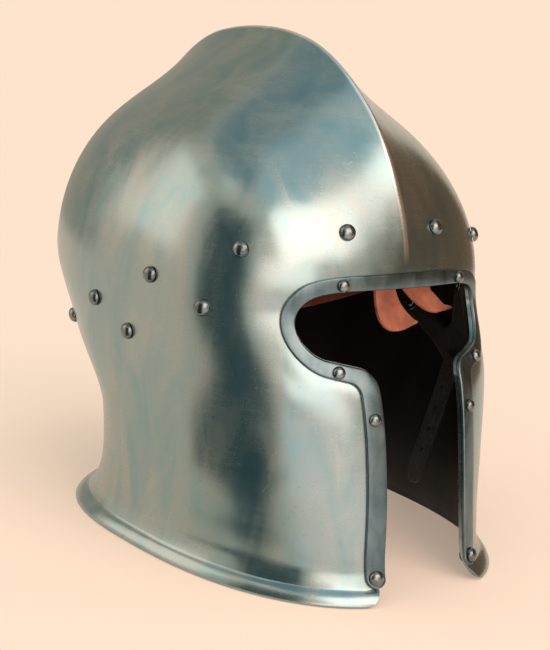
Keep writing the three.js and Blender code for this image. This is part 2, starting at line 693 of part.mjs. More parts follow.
// A tongue that hangs loose, from its sewn end in the middle of an arc of the liner band through
// stations of its two edges
function looseTongue(stations, arc) {
  const free = stations.map((pair) => pair.map(([girth, drop, depth]) => (
    platePoint(girth * LOBE_GIRTH, BROW_EDGE_HEIGHT - drop * LOOSE_DROP, depth * LOOSE_DEPTH))));
  const inset = linerFace();
  const ends = [arc - LOOSE_BASE_WIDTH / 2, arc + LOOSE_BASE_WIDTH / 2];
  const sewn = [0, TONGUE_LAP].map((lap) => ends.map((end) => {
    const angle = angleAlongLiner(end);
    return skullPoint(angle, linerPoint(angle, lap - LINER_UPPER_MARGIN).level, inset);
  }));
  const edges = [...sewn, ...free];
  const rings = edges.map(([left, right], k) => {
    const before = edges[Math.max(0, k - 1)][0];
    const after = edges[Math.min(edges.length - 1, k + 1)][0];
    const along = after.clone().sub(before);
    const inward = right.clone().sub(left).cross(along).normalize();
    if (inward.y < 0) inward.negate();
    const back = (point) => point.clone().addScaledVector(inward, TONGUE_THICKNESS);
    return [left, right, back(right), back(left)];
  });
  return loft(rings);
}

// The hole for a rivet through a laid sheet: its edge in girths and heights, and its points at a depth,
// both on the wearer's left
function rivetHole({ angle: signedAngle, level }) {
  const radius = drillRadius();
  const angle = Math.abs(signedAngle);
  const normal = outwardNormal(angle, level);
  const along = skullPoint(angle + SLOPE_STEP, level).sub(skullPoint(angle - SLOPE_STEP, level)).normalize();
  const up = normal.clone().cross(along);
  const turns = Array.from({ length: DRILL_SIDES }, (_, k) => (-k / DRILL_SIDES) * 2 * Math.PI);
  const middle = new THREE.Vector2(girthAt(angle, level), level * TEMPLE_HEIGHT);
  const edge = turns.map((turn) => (
    new THREE.Vector2(radius * Math.cos(turn), radius * Math.sin(turn)).add(middle)));
  const at = (inset) => turns.map((turn) => skullPoint(angle, level)
    .addScaledVector(normal, -depthUnder(angle, level, inset, normal))
    .addScaledVector(along, radius * Math.cos(turn))
    .addScaledVector(up, radius * Math.sin(turn)));
  return { edge, at };
}

// A flat outline of girths and heights laid against the inner wall as a sheet of leather with holes, on
// the wearer's left or, for a sign of -1, mirrored to the right
function laidSheet(outline, holes, { inset, thickness, sign }) {
  const fine = outline.flatMap((point, k) => {
    const next = outline[(k + 1) % outline.length];
    const parts = Math.ceil(point.distanceTo(next) / SHEET_STEP);
    return Array.from({ length: parts }, (_, part) => point.clone().lerp(next, part / parts));
  });
  const ring = THREE.ShapeUtils.isClockWise(fine) ? fine.slice().reverse() : fine;
  const edges = holes.map((hole) => hole.edge);
  const triangles = THREE.ShapeUtils.triangulateShape(ring, edges);
  const points = [inset, inset + thickness].flatMap((depth) => [
    ...ring.map((p) => platePoint(p.x, p.y, depth)),
    ...holes.flatMap((hole) => hole.at(depth)),
  ]);
  points.forEach((point) => point.setX(point.x * sign));
  const count = points.length / 2;
  const faces = triangles.flatMap(([a, b, c]) => [[a, b, c], [a + count, c + count, b + count]]);
  let start = 0;
  [ring, ...edges].forEach((loop) => {
    const first = start;
    loop.forEach((_, k) => {
      const here = first + k;
      const next = first + ((k + 1) % loop.length);
      faces.push([here, here + count, next], [next, here + count, next + count]);
    });
    start += loop.length;
  });
  return solidFrom(points, faces);
}

function strapRivetPlaces() {
  const innerInset = SHELL_THICKNESS + YOKE_GAP + STRAP_THICKNESS;
  return sides.flatMap(([side, sign]) => [0, 1].map((k) => {
    const arc = firstRivet(sign) + STRAP_RIVET_ARC + k * LINER_RIVET_PITCH;
    const angle = angleAlongLiner(sign * arc);
    const { level } = linerPoint(angle, STRAP_RIVET_DROP);
    const name = `strap_rivet_${side}_${k + 1}`;
    const washer = `strap_washer_${side}_${k + 1}`;
    return { name, washer, angle, level, headRadius: LINER_RIVET_RADIUS, outerInset: 0, innerInset };
  }));
}

// The girth from the middle of the face to an angle
function girthAt(angle, level) {
  const points = Array.from({ length: GIRTH_STEPS + 1 }, (_, k) => (
    skullPoint((Math.abs(angle) * k) / GIRTH_STEPS, level)));
  return points.slice(1).reduce((sum, point, k) => sum + point.distanceTo(points[k]), 0);
}

// The yoke: a leather strap from the front rivet down to the hanging strap, with a branch to the rear
// rivet, both ends rounded
function strapYoke(sign, rivets) {
  const [front, rear] = rivets.map(({ angle, level }) => (
    new THREE.Vector2(girthAt(angle, level), level * TEMPLE_HEIGHT)));
  const half = STRAP_WIDTH / 2;
  const roundEnd = (middle, start) => Array.from({ length: END_STEPS + 1 }, (_, k) => {
    const turn = start - (k / END_STEPS) * Math.PI;
    return new THREE.Vector2(middle.x + half * Math.cos(turn), middle.y + half * Math.sin(turn));
  });
  const root = new THREE.Vector2(STRAP_GIRTH, STRAP_TOP_HEIGHT);
  const lean = rear.clone().sub(root).angle();
  const fork = new THREE.Vector2(STRAP_GIRTH + half, STRAP_TOP_HEIGHT + half);
  const outline = [
    new THREE.Vector2(STRAP_GIRTH - half, YOKE_FOOT_HEIGHT),
    new THREE.Vector2(STRAP_GIRTH - half, STRAP_TOP_HEIGHT),
    ...roundEnd(front, Math.PI),
    new THREE.Vector2(STRAP_GIRTH + half, fork.y + half),
    new THREE.Vector2(fork.x + half, fork.y + half * Math.sin(lean)),
    ...roundEnd(rear, lean + Math.PI / 2),
    new THREE.Vector2(STRAP_GIRTH + half, STRAP_TOP_HEIGHT - half),
    new THREE.Vector2(STRAP_GIRTH + half, YOKE_FOOT_HEIGHT),
  ];
  const inset = SHELL_THICKNESS + YOKE_GAP;
  return laidSheet(outline, rivets.map(rivetHole), { inset, thickness: STRAP_THICKNESS, sign });
}

// A group whose origin is the middle of the hanging strap's sewn top edge: X along the edge, Y outwards,
// Z up the strap
function strapFrame(sign, yoke) {
  const inset = SHELL_THICKNESS + YOKE_GAP + STRAP_THICKNESS;
  const origin = platePoint(sign * STRAP_GIRTH, STRAP_TOP_HEIGHT, inset);
  const angle = angleAtGirth(sign * STRAP_GIRTH, STRAP_TOP_HEIGHT);
  const outward = outwardNormal(angle, levelAt(STRAP_TOP_HEIGHT)).setZ(0).normalize();
  const up = new THREE.Vector3(0, 0, 1).applyAxisAngle(
    new THREE.Vector3().crossVectors(new THREE.Vector3(0, 0, 1), outward).normalize(),
    THREE.MathUtils.degToRad(STRAP_LEAN),
  );
  const level = outward.clone().addScaledVector(up, -outward.dot(up)).normalize();
  const along = new THREE.Vector3().crossVectors(level, up);
  const frame = new THREE.Group();
  frame.quaternion.setFromRotationMatrix(new THREE.Matrix4().makeBasis(along, level, up));
  frame.position.copy(origin);
  seatInside(frame, yoke);
  return frame;
}

// Moves the strap's group along its Y until the strap's outer face just clears the yoke
function seatInside(frame, yoke) {
  frame.updateMatrix();
  const half = STRAP_WIDTH / 2;
  const reach = new THREE.Vector3(half, STRAP_WIDTH, STRAP_TOP_HEIGHT);
  const zone = block(reach.clone().negate(), reach.clone().setZ(0));
  const local = toManifold(yoke.clone().applyMatrix4(frame.matrix.clone().invert()));
  const beside = fromManifold(local.intersect(toManifold(zone)));
  beside.computeBoundingBox();
  frame.translateY(beside.boundingBox.min.y - SEAT_GAP - STRAP_THICKNESS / 2);
}

// The plain end of the chin strap: a pointed strip with a row of holes
function billet() {
  const half = STRAP_WIDTH / 2;
  const shape = new THREE.Shape();
  shape.moveTo(-half, 0);
  shape.lineTo(-half, BILLET_POINT - BILLET_LENGTH);
  shape.quadraticCurveTo(-half, -BILLET_LENGTH, 0, -BILLET_LENGTH);
  shape.quadraticCurveTo(half, -BILLET_LENGTH, half, BILLET_POINT - BILLET_LENGTH);
  shape.lineTo(half, 0);
  for (let k = 0; k < BILLET_HOLES; k += 1) {
    const hole = new THREE.Path();
    const middle = BILLET_FIRST_HOLE + k * BILLET_HOLE_PITCH - BILLET_LENGTH;
    hole.absarc(0, middle, BILLET_HOLE_RADIUS, 0, 2 * Math.PI, true);
    shape.holes.push(hole);
  }
  const options = { depth: STRAP_THICKNESS, bevelEnabled: false, curveSegments: 4 };
  const sheet = new THREE.ExtrudeGeometry(shape, options);
  return welded(sheet.translate(0, 0, -STRAP_THICKNESS / 2).rotateX(Math.PI / 2));
}

// An eye round a bar along X: a short tube with its bore
function eye(bore, wall, length) {
  const shape = new THREE.Shape();
  shape.absarc(0, 0, bore + wall, 0, 2 * Math.PI, false);
  const hole = new THREE.Path();
  hole.absarc(0, 0, bore, 0, 2 * Math.PI, true);
  shape.holes.push(hole);
  const tube = new THREE.ExtrudeGeometry(shape, { depth: length, bevelEnabled: false, curveSegments: 5 });
  return welded(tube.translate(0, 0, -length / 2).rotateY(Math.PI / 2));
}

// A block between two corners
function block(low, high) {
  const size = high.clone().sub(low);
  const middle = low.clone().add(high).multiplyScalar(0.5);
  return welded(new THREE.BoxGeometry(size.x, size.y, size.z)).translate(middle.x, middle.y, middle.z);
}

function join(shapes, cutters = []) {
  const whole = shapes.map(toManifold).reduce((sum, solid) => sum.add(solid));
  return fromManifold(cutters.map(toManifold).reduce((rest, solid) => rest.subtract(solid), whole));
}

// The buckle's strap: it ends in a fold round the buckle's bar, slotted for the prong
function buckleStrap() {
  const half = STRAP_WIDTH / 2;
  const thick = STRAP_THICKNESS / 2;
  const bore = BUCKLE_WIRE_RADIUS + SEAT_GAP;
  const reach = bore + STRAP_THICKNESS;
  const sheet = block(
    new THREE.Vector3(-half, -thick, -BUCKLE_STRAP_LENGTH + bore + thick),
    new THREE.Vector3(half, thick, 0),
  );
  const fold = eye(bore, STRAP_THICKNESS, STRAP_WIDTH).translate(0, 0, -BUCKLE_STRAP_LENGTH);
  const slot = block(
    new THREE.Vector3(-PRONG_SLOT / 2, -reach * 2, -BUCKLE_STRAP_LENGTH - reach * 2),
    new THREE.Vector3(PRONG_SLOT / 2, reach * 2, -BUCKLE_STRAP_LENGTH + reach * 1.5),
  );
  return join([sheet, fold], [slot]);
}

// A wire ring through the corners of a rounded rectangle, its top bar on the X axis
function buckleFrame() {
  const width = BUCKLE_WIDTH / 2 - BUCKLE_WIRE_RADIUS - BUCKLE_CORNER_RADIUS;
  const drop = BUCKLE_LENGTH - BUCKLE_CORNER_RADIUS;
  const corners = [[width, -BUCKLE_CORNER_RADIUS, 0], [-width, -BUCKLE_CORNER_RADIUS, 1],
    [-width, -drop, 2], [width, -drop, 3]];
  const path = corners.flatMap(([x, z, quarter]) => [0, 1, 2, 3].map((k) => {
    const turn = (quarter + k / 3) * (Math.PI / 2);
    const at = new THREE.Vector3(Math.cos(turn), 0, Math.sin(turn));
    return { outward: at, point: new THREE.Vector3(x, 0, z).addScaledVector(at, BUCKLE_CORNER_RADIUS) };
  }));
  const rings = path.map(({ outward, point }) => Array.from({ length: WIRE_SIDES }, (_, k) => {
    const turn = (k / WIRE_SIDES) * 2 * Math.PI;
    return point.clone()
      .addScaledVector(outward, BUCKLE_WIRE_RADIUS * Math.cos(turn))
      .add(new THREE.Vector3(0, BUCKLE_WIRE_RADIUS * Math.sin(turn), 0));
  }));
  return loft(rings, { loop: true });
}

// The prong: an eye round the bar and a tapered pin that lies on the frame's lower side
function buckleProng() {
  const bore = BUCKLE_WIRE_RADIUS + SEAT_GAP;
  const half = PRONG_WIDTH / 2;
  const ring = eye(bore, PRONG_THICKNESS, PRONG_WIDTH);
  const tip = BUCKLE_LENGTH + BUCKLE_WIRE_RADIUS;
  const pin = block(
    new THREE.Vector3(-half, -bore - PRONG_THICKNESS, -tip),
    new THREE.Vector3(half, -bore, 0),
  );
  return join([ring, pin]);
}

// The loop that keeps the buckled end down: room for two straps, closed all round
function keeper() {
  const half = STRAP_WIDTH / 2 + SEAT_GAP;
  const deep = STRAP_THICKNESS / 2 + SEAT_GAP;
  const low = -KEEPER_DROP - KEEPER_HEIGHT;
  const outer = block(
    new THREE.Vector3(-half - KEEPER_THICKNESS, -deep - STRAP_THICKNESS - KEEPER_THICKNESS, low),
    new THREE.Vector3(half + KEEPER_THICKNESS, deep + KEEPER_THICKNESS, -KEEPER_DROP),
  );
  const inner = block(
    new THREE.Vector3(-half, -deep - STRAP_THICKNESS, low - OVERRUN),
    new THREE.Vector3(half, deep, OVERRUN - KEEPER_DROP),
  );
  return join([outer], [inner]);
}

const bandRivets = bandRivetPlaces();
const linerRivets = linerRivetPlaces();
const strapRivets = strapRivetPlaces();
const bandDrills = bandRivets.map(rivetDrill);
const linerDrills = linerRivets.map(rivetDrill);
const strapDrills = strapRivets.map(rivetDrill);

add('skull', cut(skullShell(), [openingCutter(), ...bandDrills, ...linerDrills, ...strapDrills]), steel);
add('face_band', cut(faceBand(), bandDrills), bandSteel);
add('liner_band', cut(linerBand(), linerDrills), leather);
[...bandRivets, ...linerRivets, ...strapRivets].forEach(addRivet);
[...linerRivets, ...strapRivets].forEach(addWasher);

// The first and last tongue, on either side of the brow, have come loose and hang down
const tongueTurn = (2 * Math.PI) / TONGUE_COUNT;
for (let k = 1; k < TONGUE_COUNT - 1; k += 1) {
  const turn = (k + 0.5) * tongueTurn;
  const middle = turn > Math.PI ? turn - 2 * Math.PI : turn;
  add(`liner_tongue_${k}`, linerTongue(middle), leather);
}
add('loose_tongue_right', looseTongue(LOOSE_TONGUE_SHARES.right, LOOSE_RIGHT_ARC), leather);
add('loose_tongue_left', looseTongue(LOOSE_TONGUE_SHARES.left, LOOSE_LEFT_ARC), leather);

sides.forEach(([side, sign], k) => {
  const rivets = strapRivets.slice(k * 2, k * 2 + 2);
  const yoke = strapYoke(sign, rivets);
  add(`strap_yoke_${side}`, yoke, strapLeather);
  const frame = strapFrame(sign, yoke);
  helmet.add(frame);
  if (side === 'left') {
    add('chin_strap_left', billet(), strapLeather, frame);
    return;
  }
  add('chin_strap_right', buckleStrap(), strapLeather, frame);
  add('strap_keeper', keeper(), strapLeather, frame);
  const buckle = new THREE.Group();
  buckle.position.z = -BUCKLE_STRAP_LENGTH;
  frame.add(buckle);
  add('buckle_frame', buckleFrame(), rivetSteel, buckle);
  add('buckle_prong', buckleProng(), rivetSteel, buckle);
});

const box = new THREE.Box3().setFromObject(helmet);
helmet.position.y = -(box.min.y + box.max.y) / 2;

const group = new THREE.Group();
group.add(helmet);

export default group;
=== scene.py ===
"""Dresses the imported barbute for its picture: steel skull, face band, rivets, liner and chin strap."""

import json
import logging
import math
from collections.abc import Callable
from dataclasses import dataclass
from enum import Enum

import bpy
import numpy as np
from mathutils import Matrix, Vector
from mathutils.geometry import tessellate_polygon

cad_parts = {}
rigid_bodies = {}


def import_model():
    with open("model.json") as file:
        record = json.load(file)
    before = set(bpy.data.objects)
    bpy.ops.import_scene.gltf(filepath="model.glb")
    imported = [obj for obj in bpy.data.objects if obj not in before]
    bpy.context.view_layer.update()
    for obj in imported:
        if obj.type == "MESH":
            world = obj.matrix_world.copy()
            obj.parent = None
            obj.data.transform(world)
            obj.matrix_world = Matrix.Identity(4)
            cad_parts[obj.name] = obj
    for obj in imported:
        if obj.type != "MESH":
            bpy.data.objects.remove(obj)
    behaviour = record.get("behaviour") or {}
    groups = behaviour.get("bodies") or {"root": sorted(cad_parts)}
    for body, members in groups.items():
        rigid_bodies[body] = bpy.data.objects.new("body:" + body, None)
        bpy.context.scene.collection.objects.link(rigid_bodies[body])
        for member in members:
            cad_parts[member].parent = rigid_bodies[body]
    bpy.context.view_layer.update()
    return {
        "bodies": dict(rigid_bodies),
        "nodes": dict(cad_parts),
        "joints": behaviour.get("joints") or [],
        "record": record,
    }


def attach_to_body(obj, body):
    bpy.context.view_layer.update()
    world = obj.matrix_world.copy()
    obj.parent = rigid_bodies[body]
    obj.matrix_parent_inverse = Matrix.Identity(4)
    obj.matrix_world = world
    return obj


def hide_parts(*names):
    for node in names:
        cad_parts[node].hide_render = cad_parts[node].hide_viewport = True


LOG = logging.getLogger("barbute")
MM = 0.001
QUARTER = math.pi / 2
FULL_TURN = 2 * math.pi
TINY = 1e-9
FINE_TURNS = 361
MERGE_REACH = 2e-6
PICTURE_WIDTH = 550
THREAD_WIDTH = 1.0
STITCH_FLATNESS = 0.8
STRAP_OUTWARDS = (0.9074, -0.355, -0.225)

Piece = bpy.types.Object
Socket = bpy.types.NodeSocket
Colour = tuple[float, float, float]
Numbers = float | np.ndarray


class Side(Enum):
    """The wearer's sides, each with the sign of its X."""

    RIGHT = -1
    LEFT = 1


class Body(Enum):
    """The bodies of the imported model."""

    HELMET = "helmet"
    BUCKLE_STRAP = "buckle_strap"
    BUCKLE = "buckle"
    PRONG = "prong"
    BILLET = "billet"


def run_lengths(line: np.ndarray) -> np.ndarray:
    """The length along a line of points up to each of them."""
    steps = np.linalg.norm(np.diff(line, axis=0), axis=-1)
    return np.concatenate([[0], np.cumsum(steps)])


def straight(start: np.ndarray, end: np.ndarray, steps: int) -> list[np.ndarray]:
    """Even points on a straight line, without its start."""
    return [start + (end - start) * t for t in np.linspace(0, 1, steps + 1)[1:]]


def curve(start: np.ndarray, pull: np.ndarray, end: np.ndarray, steps: int) -> list[np.ndarray]:
    """Points on a curve whose ends both aim at a pull point, without its start."""
    shares = np.linspace(0, 1, steps + 1)[1:]
    return [(1 - t) ** 2 * start + 2 * t * (1 - t) * pull + t * t * end for t in shares]


def arc(middle: np.ndarray, radius: float, first: float, last: float, steps: int) -> list[np.ndarray]:
    """Points on an arc from its first to its last turn, without its start."""
    turns = [first + (last - first) * t for t in np.linspace(0, 1, steps + 1)[1:]]
    return [middle + radius * np.array([math.cos(turn), math.sin(turn)]) for turn in turns]


def direction(azimuth: float, elevation: float) -> Vector:
    """The way out at a turn from the face and a height over the level, both in degrees."""
    turn = math.radians(azimuth)
    rise = math.radians(elevation)
    return Vector((math.sin(turn) * math.cos(rise), -math.cos(turn) * math.cos(rise), math.sin(rise)))


@dataclass
class HelmetForm:
    """The raised form of the skull, in millimetres, from which every plate and leather is laid out."""

    temple_half_width: float = 105.0
    temple_height: float = 146.0
    brow_reach: float = 97.5
    nape_reach: float = 149.0
    crown_rise: float = 106.0
    crown_set_back: float = 27.0
    thickness: float = 1.8
    comb_height: float = 26.5
    comb_half_width: float = 59.0
    comb_sharpness: float = 2.33
    crest_round: float = 0.9
    flare_reach: float = 6.0
    flare_height: float = 18.0
    squareness: float = 0.81
    width_power: float = 0.933
    front_power: float = 0.873
    back_power: float = 1.0
    brow_edge_height: float = 153.8
    brow_flat_girth: float = 26.0
    lobe_girth: float = 50.4
    lobe_height: float = 135.8
    lobe_radius: float = 15.7
    lobe_shoulder: float = 58.0
    under_eye_fall: float = 11.5
    cheek_top_girth: float = 29.0
    cheek_waist_girth: float = 27.0
    cheek_foot_girth: float = 29.2
    cheek_waist_height: float = 58.0
    cheek_foot_height: float = 25.0
    opening_corner_radius: float = 10.0
    straight_steps: int = 6
    corner_steps: int = 12
    long_steps: int = 30
    liner_front_rise: float = 33.2
    liner_slope_share: float = 0.458
    liner_rounds: int = 8
    wall_levels: tuple = (0.0, 0.2, 0.42, 0.7, 1.0)
    width_shares: tuple = (0.884, 0.873, 0.908, 0.973, 1.0)
    front_shares: tuple = (1.412, 1.37, 1.316, 1.217, 1.0)
    back_shares: tuple = (0.665, 0.561, 0.54, 0.782, 1.0)
    comb_angles: tuple = (5.0, 30.0, 60.0, 90.0, 120.0, 150.0, 190.0, 230.0)
    comb_shares: tuple = (0.0, 0.204, 0.604, 0.943, 1.0, 0.487, 0.053, 0.0)
    set_back: float = -6.696
    centre_height: float = 130.0

    @staticmethod
    def smooth_table(places: tuple, values: tuple, at: np.ndarray) -> np.ndarray:
        """Read a table through a smooth curve that never overshoots.

        Args:
            places: rising places of the table.
            values: the value at each place.
            at: where the curve is read.

        Returns:
            The curve's values.
        """
        place = np.asarray(places, float)
        value = np.asarray(values, float)
        spot = np.asarray(at, float)
        secants = np.diff(value) / np.diff(place)
        slopes = np.zeros(len(place))
        slopes[0] = secants[0]
        before = secants[:-1]
        after = secants[1:]
        rising = before * after > 0
        total = np.where(rising, before + after, 1)
        slopes[1:-1] = np.where(rising, 2 * before * after / total, 0)
        last = len(place) - 2
        k = np.clip(np.searchsorted(place, spot, side="right") - 1, 0, last)
        span = place[k + 1] - place[k]
        t = np.clip((spot - place[k]) / span, 0, 1)
        rise = value[k + 1] - value[k]
        bend = span * t * (1 - t) * (slopes[k] * (1 - t) - slopes[k + 1] * t)
        return value[k] + rise * t * t * (3 - 2 * t) + bend

    def dome_point(
        self, angle: Numbers, level: Numbers, inset: Numbers = 0.0, bulge: Numbers = 0.0
    ) -> np.ndarray:
        """Points of the form without its comb.

        Args:
            angle: turn from the middle of the face, positive to the wearer's left.
            level: 0 at the rim, 1 at the temples, 2 at the crown.
            inset: depth under the outer face.
            bulge: reach beyond the outer face, as the rolled rim has.

        Returns:
            An array of points whose last axis is X, Y and Z.
        """
        turn, height, depth, out = np.broadcast_arrays(np.asarray(angle, float), level, inset, bulge)
        below = np.clip(height, 0, 1)
        wide, front, back = (
            self.smooth_table(self.wall_levels, shares, below)
            for shares in (self.width_shares, self.front_shares, self.back_shares)
        )
        rise = np.clip(height - 1, 0, 1) * QUARTER
        narrow = np.maximum(0, np.cos(rise))
        low = height * self.temple_height
        flare = self.flare_reach * np.maximum(0, 1 - np.maximum(0, low) / self.flare_height) ** 2
        grow = flare + out - depth
        crown = height > 1

        def reach_of(size: float, power: float, share: np.ndarray) -> np.ndarray:
            """How far the form reaches in one direction."""
            return np.where(crown, (size - depth) * narrow**power, size * share + grow)

        width = reach_of(self.temple_half_width, self.width_power, wide)
        ahead = reach_of(self.brow_reach, self.front_power, front)
        behind = reach_of(self.nape_reach, self.back_power, back)
        top = self.temple_height + (self.crown_rise - depth) * np.sin(rise)
        z = np.where(crown, top, low)
        shift = np.where(crown, self.crown_set_back * np.sin(rise) ** 2, 0)
        cosine = np.cos(turn)
        sine = np.sin(turn)
        x = width * np.sign(sine) * np.abs(sine) ** self.squareness
        reach = np.where(cosine >= 0, ahead, behind)
        y = shift - np.sign(cosine) * reach * np.abs(cosine) ** self.squareness
        return np.stack([x, y, z], -1)

    def skull_point(
        self, angle: Numbers, level: Numbers, inset: Numbers = 0.0, bulge: Numbers = 0.0
    ) -> np.ndarray:
        """Points of the form with its comb raised, with the arguments of dome_point."""
        points = self.dome_point(angle, level, inset, bulge)
        depth = np.broadcast_to(np.asarray(inset, float), points.shape[:-1])
        up = points[..., 2] - self.temple_height
        forward = -points[..., 1]
        around = np.degrees(np.arctan2(up, forward))
        around = np.where(around < -90, around + 360, around)
        side = np.sqrt(points[..., 0] ** 2 + self.crest_round**2) - self.crest_round
        spread = np.maximum(0, 1 - side / (self.comb_half_width - depth))
        share = self.smooth_table(self.comb_angles, self.comb_shares, around)
        lift = self.comb_height * share * spread**self.comb_sharpness
        length = np.hypot(up, forward) + TINY
        raised = points.copy()
        raised[..., 1] -= lift * forward / length
        raised[..., 2] += lift * up / length
        return raised

    def level_at(self, height: Numbers) -> np.ndarray:
        """The level of a height on the form before its comb is raised."""
        tall = np.asarray(height, float)
        rise = np.clip((tall - self.temple_height) / self.crown_rise, 0, 1)
        return np.where(tall <= self.temple_height, tall / self.temple_height, 1 + np.arcsin(rise) / QUARTER)

    def angle_at_girth(self, girth: np.ndarray, height: np.ndarray) -> np.ndarray:
        """The turn at which a girth measured round the outer face from its middle ends."""
        turns = np.linspace(0, math.pi, FINE_TURNS)
        levels = np.broadcast_to(self.level_at(height), girth.shape)
        lines = self.skull_point(turns[None], levels[:, None])
        ends = [np.interp(abs(g), run_lengths(line), turns) for g, line in zip(girth, lines)]
        return np.sign(girth) * np.array(ends)

    def plate_point(self, girth: Numbers, height: Numbers, inset: Numbers = 0.0) -> np.ndarray:
        """Points of the plate by girth from the middle of the face, height and depth."""
        round_it, tall = np.broadcast_arrays(np.atleast_1d(np.asarray(girth, float)), height)
        angle = self.angle_at_girth(round_it, tall)
        return self.skull_point(angle, self.level_at(tall), inset)

    def liner_level(self, angle: Numbers, drop: Numbers = 0.0) -> np.ndarray:
        """The level of the tilted liner line at a turn, or of a line a drop below it."""
        turn, down = np.broadcast_arrays(np.asarray(angle, float), drop)
        front = self.brow_edge_height + self.liner_front_rise
        height = np.full(turn.shape, front)
        for _ in range(self.liner_rounds):
            behind = self.skull_point(turn, self.level_at(height))[..., 1] + self.brow_reach
            height = front - self.liner_slope_share * behind - down
        return self.level_at(height)

    def angle_along_liner(self, length: np.ndarray) -> np.ndarray:
        """The turn at which a length measured along the liner line from its middle ends."""
        turns = np.linspace(0, math.pi, FINE_TURNS)
        line = self.skull_point(turns, self.liner_level(turns))
        return np.sign(length) * np.interp(np.abs(length), run_lengths(line), turns)

    def columns(self, per_octant: int, crowding: float = 1.35) -> np.ndarray:
        """Turns round the form, evenly spread on it and closer together at its middle line."""
        share = np.linspace(0, 1, per_octant + 1) ** crowding
        corner = math.sqrt(0.5) ** self.squareness
        turns = np.arcsin((corner * share) ** (1 / self.squareness))
        for reach in (QUARTER, math.pi, FULL_TURN):
            turns = np.concatenate([turns, (reach - turns[::-1])[1:]])
        return turns

    def face_line(self, grow: float, cheek_grow: float, corner_radius: float) -> np.ndarray:
        """Half of the line round the face opening, from the middle of the brow to the cheek's foot.

        Args:
            grow: how far the line stands outside the opening at the brow and eye.
            cheek_grow: the same down the cheek.
            corner_radius: radius of the corner over the cheek.

        Returns:
            Girths and heights along the line.
        """
        radius = self.lobe_radius + grow
        brow = self.brow_edge_height + grow
        shoulder = math.radians(self.lobe_shoulder)
        fall = math.radians(self.under_eye_fall)
        lobe = np.array([self.lobe_girth, self.lobe_height])
        flat = np.array([self.brow_flat_girth, brow])
        turn = lobe + radius * np.array([math.cos(shoulder), math.sin(shoulder)])
        bend = np.array([turn[0] - (brow - turn[1]) * math.tan(shoulder), brow])
        line = [np.array([0.0, brow])]
        line += straight(line[0], flat, self.straight_steps)
        line += curve(flat, bend, turn, self.corner_steps)
        line += arc(lobe, radius, shoulder, fall - QUARTER, self.long_steps)
        under = line[-1]
        cheek = self.cheek_top_girth + cheek_grow
        run = corner_radius * math.tan((QUARTER - fall) / 2)
        corner_top = under[1] - (under[0] - cheek) * math.tan(fall)
        middle = np.array([cheek + corner_radius, corner_top - run])
        start = middle + corner_radius * np.array([-math.sin(fall), math.cos(fall)])
        line += straight(under, start, self.straight_steps)
        line += arc(middle, corner_radius, QUARTER + fall, math.pi, self.corner_steps)
        waist = np.array([self.cheek_waist_girth + cheek_grow, self.cheek_waist_height])
        foot = np.array([self.cheek_foot_girth + cheek_grow, self.cheek_foot_height])
        line += curve(line[-1], waist, foot, self.long_steps)
        return np.array(line)

    def opening_line(self) -> np.ndarray:
        """Half of the face opening's own edge."""
        return self.face_line(0, 0, self.opening_corner_radius)

    def to_scene(self, points: np.ndarray) -> np.ndarray:
        """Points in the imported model's frame, in metres."""
        moved = np.array(points, float)
        moved[..., 1] += self.set_back
        return moved * MM

    def centre(self) -> Vector:
        """A point well inside the helmet, in metres."""
        return Vector((0, self.set_back, self.centre_height)) * MM


